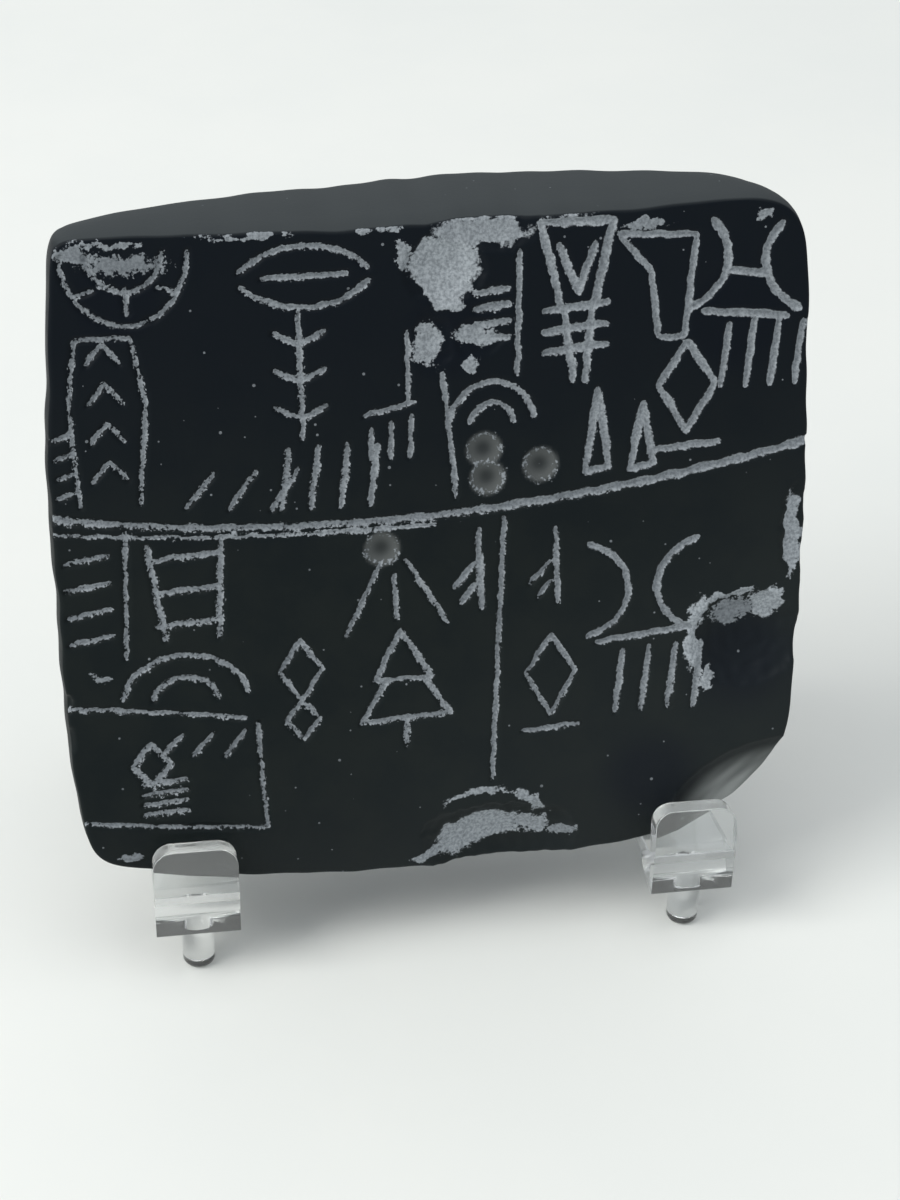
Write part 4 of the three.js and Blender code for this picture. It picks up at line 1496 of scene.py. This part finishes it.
@dataclass
class Stand:
    """The clear moulded stand: two arms with lips and pegs, joined by two bars."""

    seat: Seat
    form: TabletForm = field(default_factory=TabletForm)
    arm_width: float = 11.0
    arm_offset: float = 33.0
    lip_height: float = 4.6
    lip_corner: float = 2.6
    block_bottom: float = 7.8
    block_depth: float = 7.2
    block_corner: float = 2.8
    ledge: float = 2.4
    upright: float = 3.2
    upright_top: float = 8.0
    cap_depth: float = 7.2
    strut: float = 3.4
    rear_crown: float = 1.0
    edge_margin: float = 0.5
    tie: float = 3.0
    tie_height: float = 7.0
    tie_inset: float = 0.4
    tie_drop: float = 1.0
    tie_overlap: float = 1.0
    low_tie_height: float = 4.0
    low_tie_lift: float = 0.6
    peg_radius: float = 2.15
    peg_flat: float = 1.25
    peg_round: float = 0.95
    peg_set_back: float = 3.4
    peg_sunk: float = 1.0
    peg_sides: int = 40
    sharp_degrees: float = 30.0
    soft_edge: float = 0.6
    tie_soft_edge: float = 0.4
    lip_round: float = 2.0
    lip_round_starts: float = 0.3

    def build(self, material: bpy.types.Material) -> bpy.types.Object:
        """Build the stand and dress it.

        Args:
            material: The clear plastic's finish.

        Returns:
            The piece, in place of the plain solid.
        """
        low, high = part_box("display_stand")
        shift = (low.x + high.x) / 2 / MM
        parts = []
        for side in (-1.0, 1.0):
            x = shift + side * self.arm_offset
            parts.append(self._arm(x))
            rear = -self.seat.front - self.block_depth / 2
            parts += [self._peg(x, y) for y in (self.seat.front + self.peg_set_back, rear)]
        parts += [self._bar(shift, outline) for outline in self._tie_outlines()]
        piece = self._fused(parts, material)
        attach(piece, BODY)
        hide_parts("display_stand")
        return piece

    @property
    def _inner_edge(self) -> float:
        """How far from the middle an arm starts, less a small margin."""
        return self.arm_offset - self.arm_width / 2 - self.edge_margin

    @property
    def _low_tie_top(self) -> float:
        """The height of the low bar's top over the table."""
        return self.block_bottom + self.low_tie_height

    @property
    def ledge_top(self) -> float:
        """How far up the face the ledge lies, just under the tablet's foot."""
        inner = self._inner_edge
        sag = self.form.bottom_sag * (inner / self.form.half_width) ** 2
        foot = sag - self.form.bottom_drop - self.form.half_height
        return foot - self.form.side_bulge - self.seat.gap

    @property
    def pocket(self) -> float:
        """How far behind the face the upright stands."""
        inner = self._inner_edge
        return float(self.form.back_depth(np.array(inner), np.array(0.0))) + self.seat.gap

    def _outline(self) -> Line:
        """Draw an arm from the side: block, lip, ledge, upright, strut and rear block."""
        seat, front, rear = self.seat, self.seat.front, -self.seat.front
        lip_top = seat.crease_level + self.lip_height
        upright_back = self.pocket + self.upright
        under = self.ledge_top - self.ledge
        rear_top = self._low_tie_top + self.rear_crown
        block_back = front + self.block_depth
        centre = (block_back - self.block_corner, self.block_bottom + self.block_corner)
        corner = arc_line(centre, (self.block_corner, self.block_corner), -25, -90, 6)
        return [
            (front, seat.crease_height),
            seat.leaned(-seat.gap - seat.lip_thickness, lip_top),
            seat.leaned(-seat.gap, lip_top),
            seat.leaned(-seat.gap, self.ledge_top),
            seat.leaned(self.pocket, self.ledge_top),
            seat.leaned(self.pocket, self.upright_top),
            seat.leaned(self.pocket + self.cap_depth, self.upright_top),
            (rear, rear_top),
            (rear, self.block_bottom),
            (rear - self.block_depth, self.block_bottom),
            (rear - self.block_depth, rear_top),
            (rear - self.strut, rear_top),
            seat.leaned(upright_back, self.upright_top - 2 * self.upright),
            seat.leaned(upright_back, under),
            *corner,
            (front, self.block_bottom),
        ]

    def _tie_outlines(self) -> list[Line]:
        """Draw the two bars that join the arms, from the side."""
        seat = self.seat
        back = self.pocket + self.cap_depth - self.tie_inset
        top, bottom = self.upright_top - self.tie_drop, self.upright_top - self.tie_height
        upper = [
            seat.leaned(back, top),
            seat.leaned(back - self.tie, top),
            seat.leaned(back - self.tie, bottom),
            seat.leaned(back, bottom),
        ]
        low_back = -seat.front - self.block_depth / 2 + self.tie / 2
        low_bottom = self.block_bottom + self.low_tie_lift
        lower = [
            (low_back, low_bottom),
            (low_back, self._low_tie_top),
            (low_back - self.tie, self._low_tie_top),
            (low_back - self.tie, low_bottom),
        ]
        return [upper, lower]

    @staticmethod
    def _plate(outline: Line, x: float, width: float) -> bmesh.types.BMesh:
        """Push a side outline across to a width, centred on x."""
        bm = bmesh.new()
        verts = [bm.verts.new((x - width / 2, y, z)) for y, z in outline]
        side = bm.faces.new(verts)
        made = bmesh.ops.extrude_face_region(bm, geom=[side], use_keep_orig=True)["geom"]
        moved = [item for item in made if isinstance(item, bmesh.types.BMVert)]
        bmesh.ops.translate(bm, verts=moved, vec=(width, 0.0, 0.0))
        bmesh.ops.recalc_face_normals(bm, faces=bm.faces)
        return bm

    @staticmethod
    def _round_off(
        bm: bmesh.types.BMesh, edges: list[bmesh.types.BMEdge], size: float, segments: int
    ) -> None:
        """Round some edges.

        Args:
            bm: The mesh that they belong to.
            edges: The edges.
            size: How far the rounding reaches.
            segments: How many steps it has.
        """
        bmesh.ops.bevel(
            bm, geom=edges, offset=size, offset_type="OFFSET", affect="EDGES",
            segments=segments, profile=0.5, material=-1, clamp_overlap=True,
        )

    def _soften(self, bm: bmesh.types.BMesh, size: float) -> None:
        """Round every sharp edge."""
        limit = math.radians(self.sharp_degrees)
        sharp = [edge for edge in bm.edges if edge.calc_face_angle(0.0) > limit]
        self._round_off(bm, sharp, size, segments=4)

    def _arm(self, x: float) -> bmesh.types.BMesh:
        """Make one arm, with the two upper corners and the front of its lip rounded."""
        bm = self._plate(self._outline(), x, self.arm_width)
        self._round_lip_corners(bm)
        self._round_lip_front(bm)
        self._soften(bm, self.soft_edge)
        return bm

    def _round_lip_corners(self, bm: bmesh.types.BMesh) -> None:
        """Round the lip's two upper corners, seen from the front."""
        seat = self.seat
        lip_top = seat.leaned(-seat.gap, seat.crease_level + self.lip_height)[1] - 0.1
        lip_back = seat.leaned(-seat.gap, seat.crease_level)[0] + self.lip_height
        corners = [
            edge for edge in bm.edges
            if all(vert.co.z > lip_top and vert.co.y < lip_back for vert in edge.verts)
            and abs(edge.verts[0].co.x - edge.verts[1].co.x) < 0.01
        ]
        self._round_off(bm, corners, self.lip_corner, segments=10)

    def _round_lip_front(self, bm: bmesh.types.BMesh) -> None:
        """Round the edge of the lip's front, along its top and its two corners."""
        seat = self.seat
        lip_front = -seat.gap - seat.lip_thickness
        low = seat.crease_level + self.lip_round_starts * self.lip_height

        def is_on_front(vert: bmesh.types.BMVert) -> bool:
            """Tell whether a vertex lies in the plane of the lip's front, above its foot."""
            back, up = seat.unleaned(vert.co.y, vert.co.z)
            return abs(back - lip_front) < 0.02 and up > low

        front = [edge for edge in bm.edges if all(is_on_front(vert) for vert in edge.verts)]
        self._round_off(bm, front, self.lip_round, segments=7)

    def _bar(self, x: float, outline: Line) -> bmesh.types.BMesh:
        """Make a bar between the arms."""
        reach = self.arm_offset - self.arm_width / 2 + self.tie_overlap
        bm = self._plate(outline, x, 2 * reach)
        self._soften(bm, self.tie_soft_edge)
        return bm

    def _peg(self, x: float, y: float) -> bmesh.types.BMesh:
        """Spin the round peg that a block stands on, its top sunk into the block."""
        shoulder = self.peg_radius - self.peg_flat
        turns = [math.radians(angle) for angle in range(0, 91, 15)]
        profile = [
            (self.peg_flat + shoulder * math.sin(turn), self.peg_round * (1 - math.cos(turn)))
            for turn in turns
        ]
        profile.append((self.peg_radius, self.block_bottom + self.peg_sunk))
        bm = bmesh.new()
        verts = [bm.verts.new((x + radius, y, height)) for radius, height in profile]
        edges = [bm.edges.new(pair) for pair in zip(verts, verts[1:])]
        bmesh.ops.spin(
            bm, geom=verts + edges, cent=(x, y, 0.0), axis=(0.0, 0.0, 1.0),
            angle=2 * math.pi, steps=self.peg_sides, use_merge=True,
        )
        bmesh.ops.holes_fill(bm, edges=[edge for edge in bm.edges if edge.is_boundary])
        bmesh.ops.recalc_face_normals(bm, faces=bm.faces)
        return bm

    @staticmethod
    def _fused(parts: Sequence[bmesh.types.BMesh], material: bpy.types.Material) -> bpy.types.Object:
        """Fuse the parts into one closed body.

        Args:
            parts: The parts, in mm; they are freed.
            material: The finish.

        Returns:
            The fused piece.
        """
        solids = []
        for number, bm in enumerate(parts):
            bm.transform(Matrix.Scale(MM, 4))
            solids.append(finish_mesh(f"stand_part_{number}", bm, material))
        whole = solids[0]
        for other in solids[1:]:
            join = whole.modifiers.new("join", "BOOLEAN")
            join.operation = "UNION"
            join.solver = "EXACT"
            join.object = other
        graph = bpy.context.evaluated_depsgraph_get()
        mesh = bpy.data.meshes.new_from_object(whole.evaluated_get(graph))
        mesh.name = "clear_stand"
        for solid in solids:
            bpy.data.objects.remove(solid)
        piece = bpy.data.objects.new("clear_stand", mesh)
        bpy.context.scene.collection.objects.link(piece)
        for polygon in mesh.polygons:
            polygon.use_smooth = True
        weigh = piece.modifiers.new("even_shading", "WEIGHTED_NORMAL")
        weigh.weight = 60
        weigh.keep_sharp = True
        return piece


# ------------------------------------------------------------------ the studio


@dataclass(frozen=True)
class Camera:
    """A long lens that looks down on the face from the front and a little from the left."""

    azimuth: float = -9.62
    elevation: float = 36.0
    roll: float = 1.66
    distance: float = 0.30115
    target: Place = (-0.00051, -0.0260, 0.0590)
    lens: float = 75.0
    sensor: float = 36.0

    def place(self) -> None:
        """Put the camera in the scene and make it the one that is used."""
        turn, climb, roll = (math.radians(a) for a in (self.azimuth, self.elevation, self.roll))
        back = Vector((
            math.sin(turn) * math.cos(climb), -math.cos(turn) * math.cos(climb), math.sin(climb)
        ))
        level = Vector((math.cos(turn), math.sin(turn), 0.0))
        upright = back.cross(level)
        right = level * math.cos(roll) + upright * math.sin(roll)
        up = back.cross(right)
        data = bpy.data.cameras.new("camera")
        data.sensor_fit = "VERTICAL"
        data.sensor_height = self.sensor
        data.lens = self.lens
        data.clip_start = 0.01
        camera = bpy.data.objects.new("camera", data)
        turned = Matrix((right, up, back)).transposed().to_4x4()
        camera.matrix_world = Matrix.Translation(Vector(self.target) + back * self.distance) @ turned
        bpy.context.scene.collection.objects.link(camera)
        bpy.context.scene.camera = camera


@dataclass(frozen=True)
class SoftLight:
    """A soft box, aimed at a place on the table."""

    name: str
    place: Place
    size: float
    power: float
    aim: Place = (0.0, 0.0, 0.0)
    colour: tuple[float, float, float] = (1.0, 0.995, 0.965)

    def hang(self) -> None:
        """Hang the light in the scene."""
        data = bpy.data.lights.new(self.name, "AREA")
        data.shape = "SQUARE"
        data.size = self.size
        data.energy = self.power
        data.color = self.colour
        light = bpy.data.objects.new(self.name, data)
        direction = Vector(self.aim) - Vector(self.place)
        light.matrix_world = (
            Matrix.Translation(self.place) @ direction.to_track_quat("-Z", "Y").to_matrix().to_4x4()
        )
        bpy.context.scene.collection.objects.link(light)


@dataclass(frozen=True)
class Studio:
    """A pale floor, a large soft light from the left, a weak one from above and an even room."""

    floor_size: float = 3.0
    room: Colour = (0.92, 0.96, 1.0, 1.0)
    room_strength: float = 0.64
    lights: tuple[SoftLight, ...] = (
        SoftLight("left_window", place=(-1.10, -0.34, 1.15), size=0.9, power=16.5),
        SoftLight("overhead", place=(0.0, 0.0, 1.0), size=0.6, power=1.8),
    )

    def build(self, material: bpy.types.Material) -> None:
        """Lay the floor and hang the lights.

        Args:
            material: The floor's finish.
        """
        bm = bmesh.new()
        bmesh.ops.create_grid(bm, x_segments=2, y_segments=2, size=self.floor_size / 2)
        floor = finish_mesh("floor", bm, material)
        for light in self.lights:
            light.hang()
        world = bpy.data.worlds.new("room")
        world.use_nodes = True
        background = next(
            node for node in world.node_tree.nodes if node.bl_idname == "ShaderNodeBackground"
        )
        background.inputs["Color"].default_value = self.room
        background.inputs["Strength"].default_value = self.room_strength
        bpy.context.scene.world = world
        bpy.context.scene.view_settings.view_transform = "Standard"


# ------------------------------------------------------------------ the whole scene


def report(piece: bpy.types.Object) -> None:
    """Log a piece's size and how many faces it has."""
    sides = ", ".join(f"{side / MM:.1f}" for side in piece.dimensions)
    LOG.info("%s: %s mm, %d faces", piece.name, sides, len(piece.data.polygons))


def main() -> None:
    """Build the camera, the tablet, the stand and the studio in order."""
    logging.basicConfig(level=logging.INFO, format="%(name)s: %(message)s")
    Camera().place()
    kit = FinishKit()
    seat = Seat()
    for piece in (
        Tablet(seat).build(BlackCastFinish().build(kit)),
        Stand(seat).build(ClearPlasticFinish().build(kit)),
    ):
        report(piece)
    Studio().build(PaleFloorFinish().build(kit))


if __name__ == "__main__":
    main()
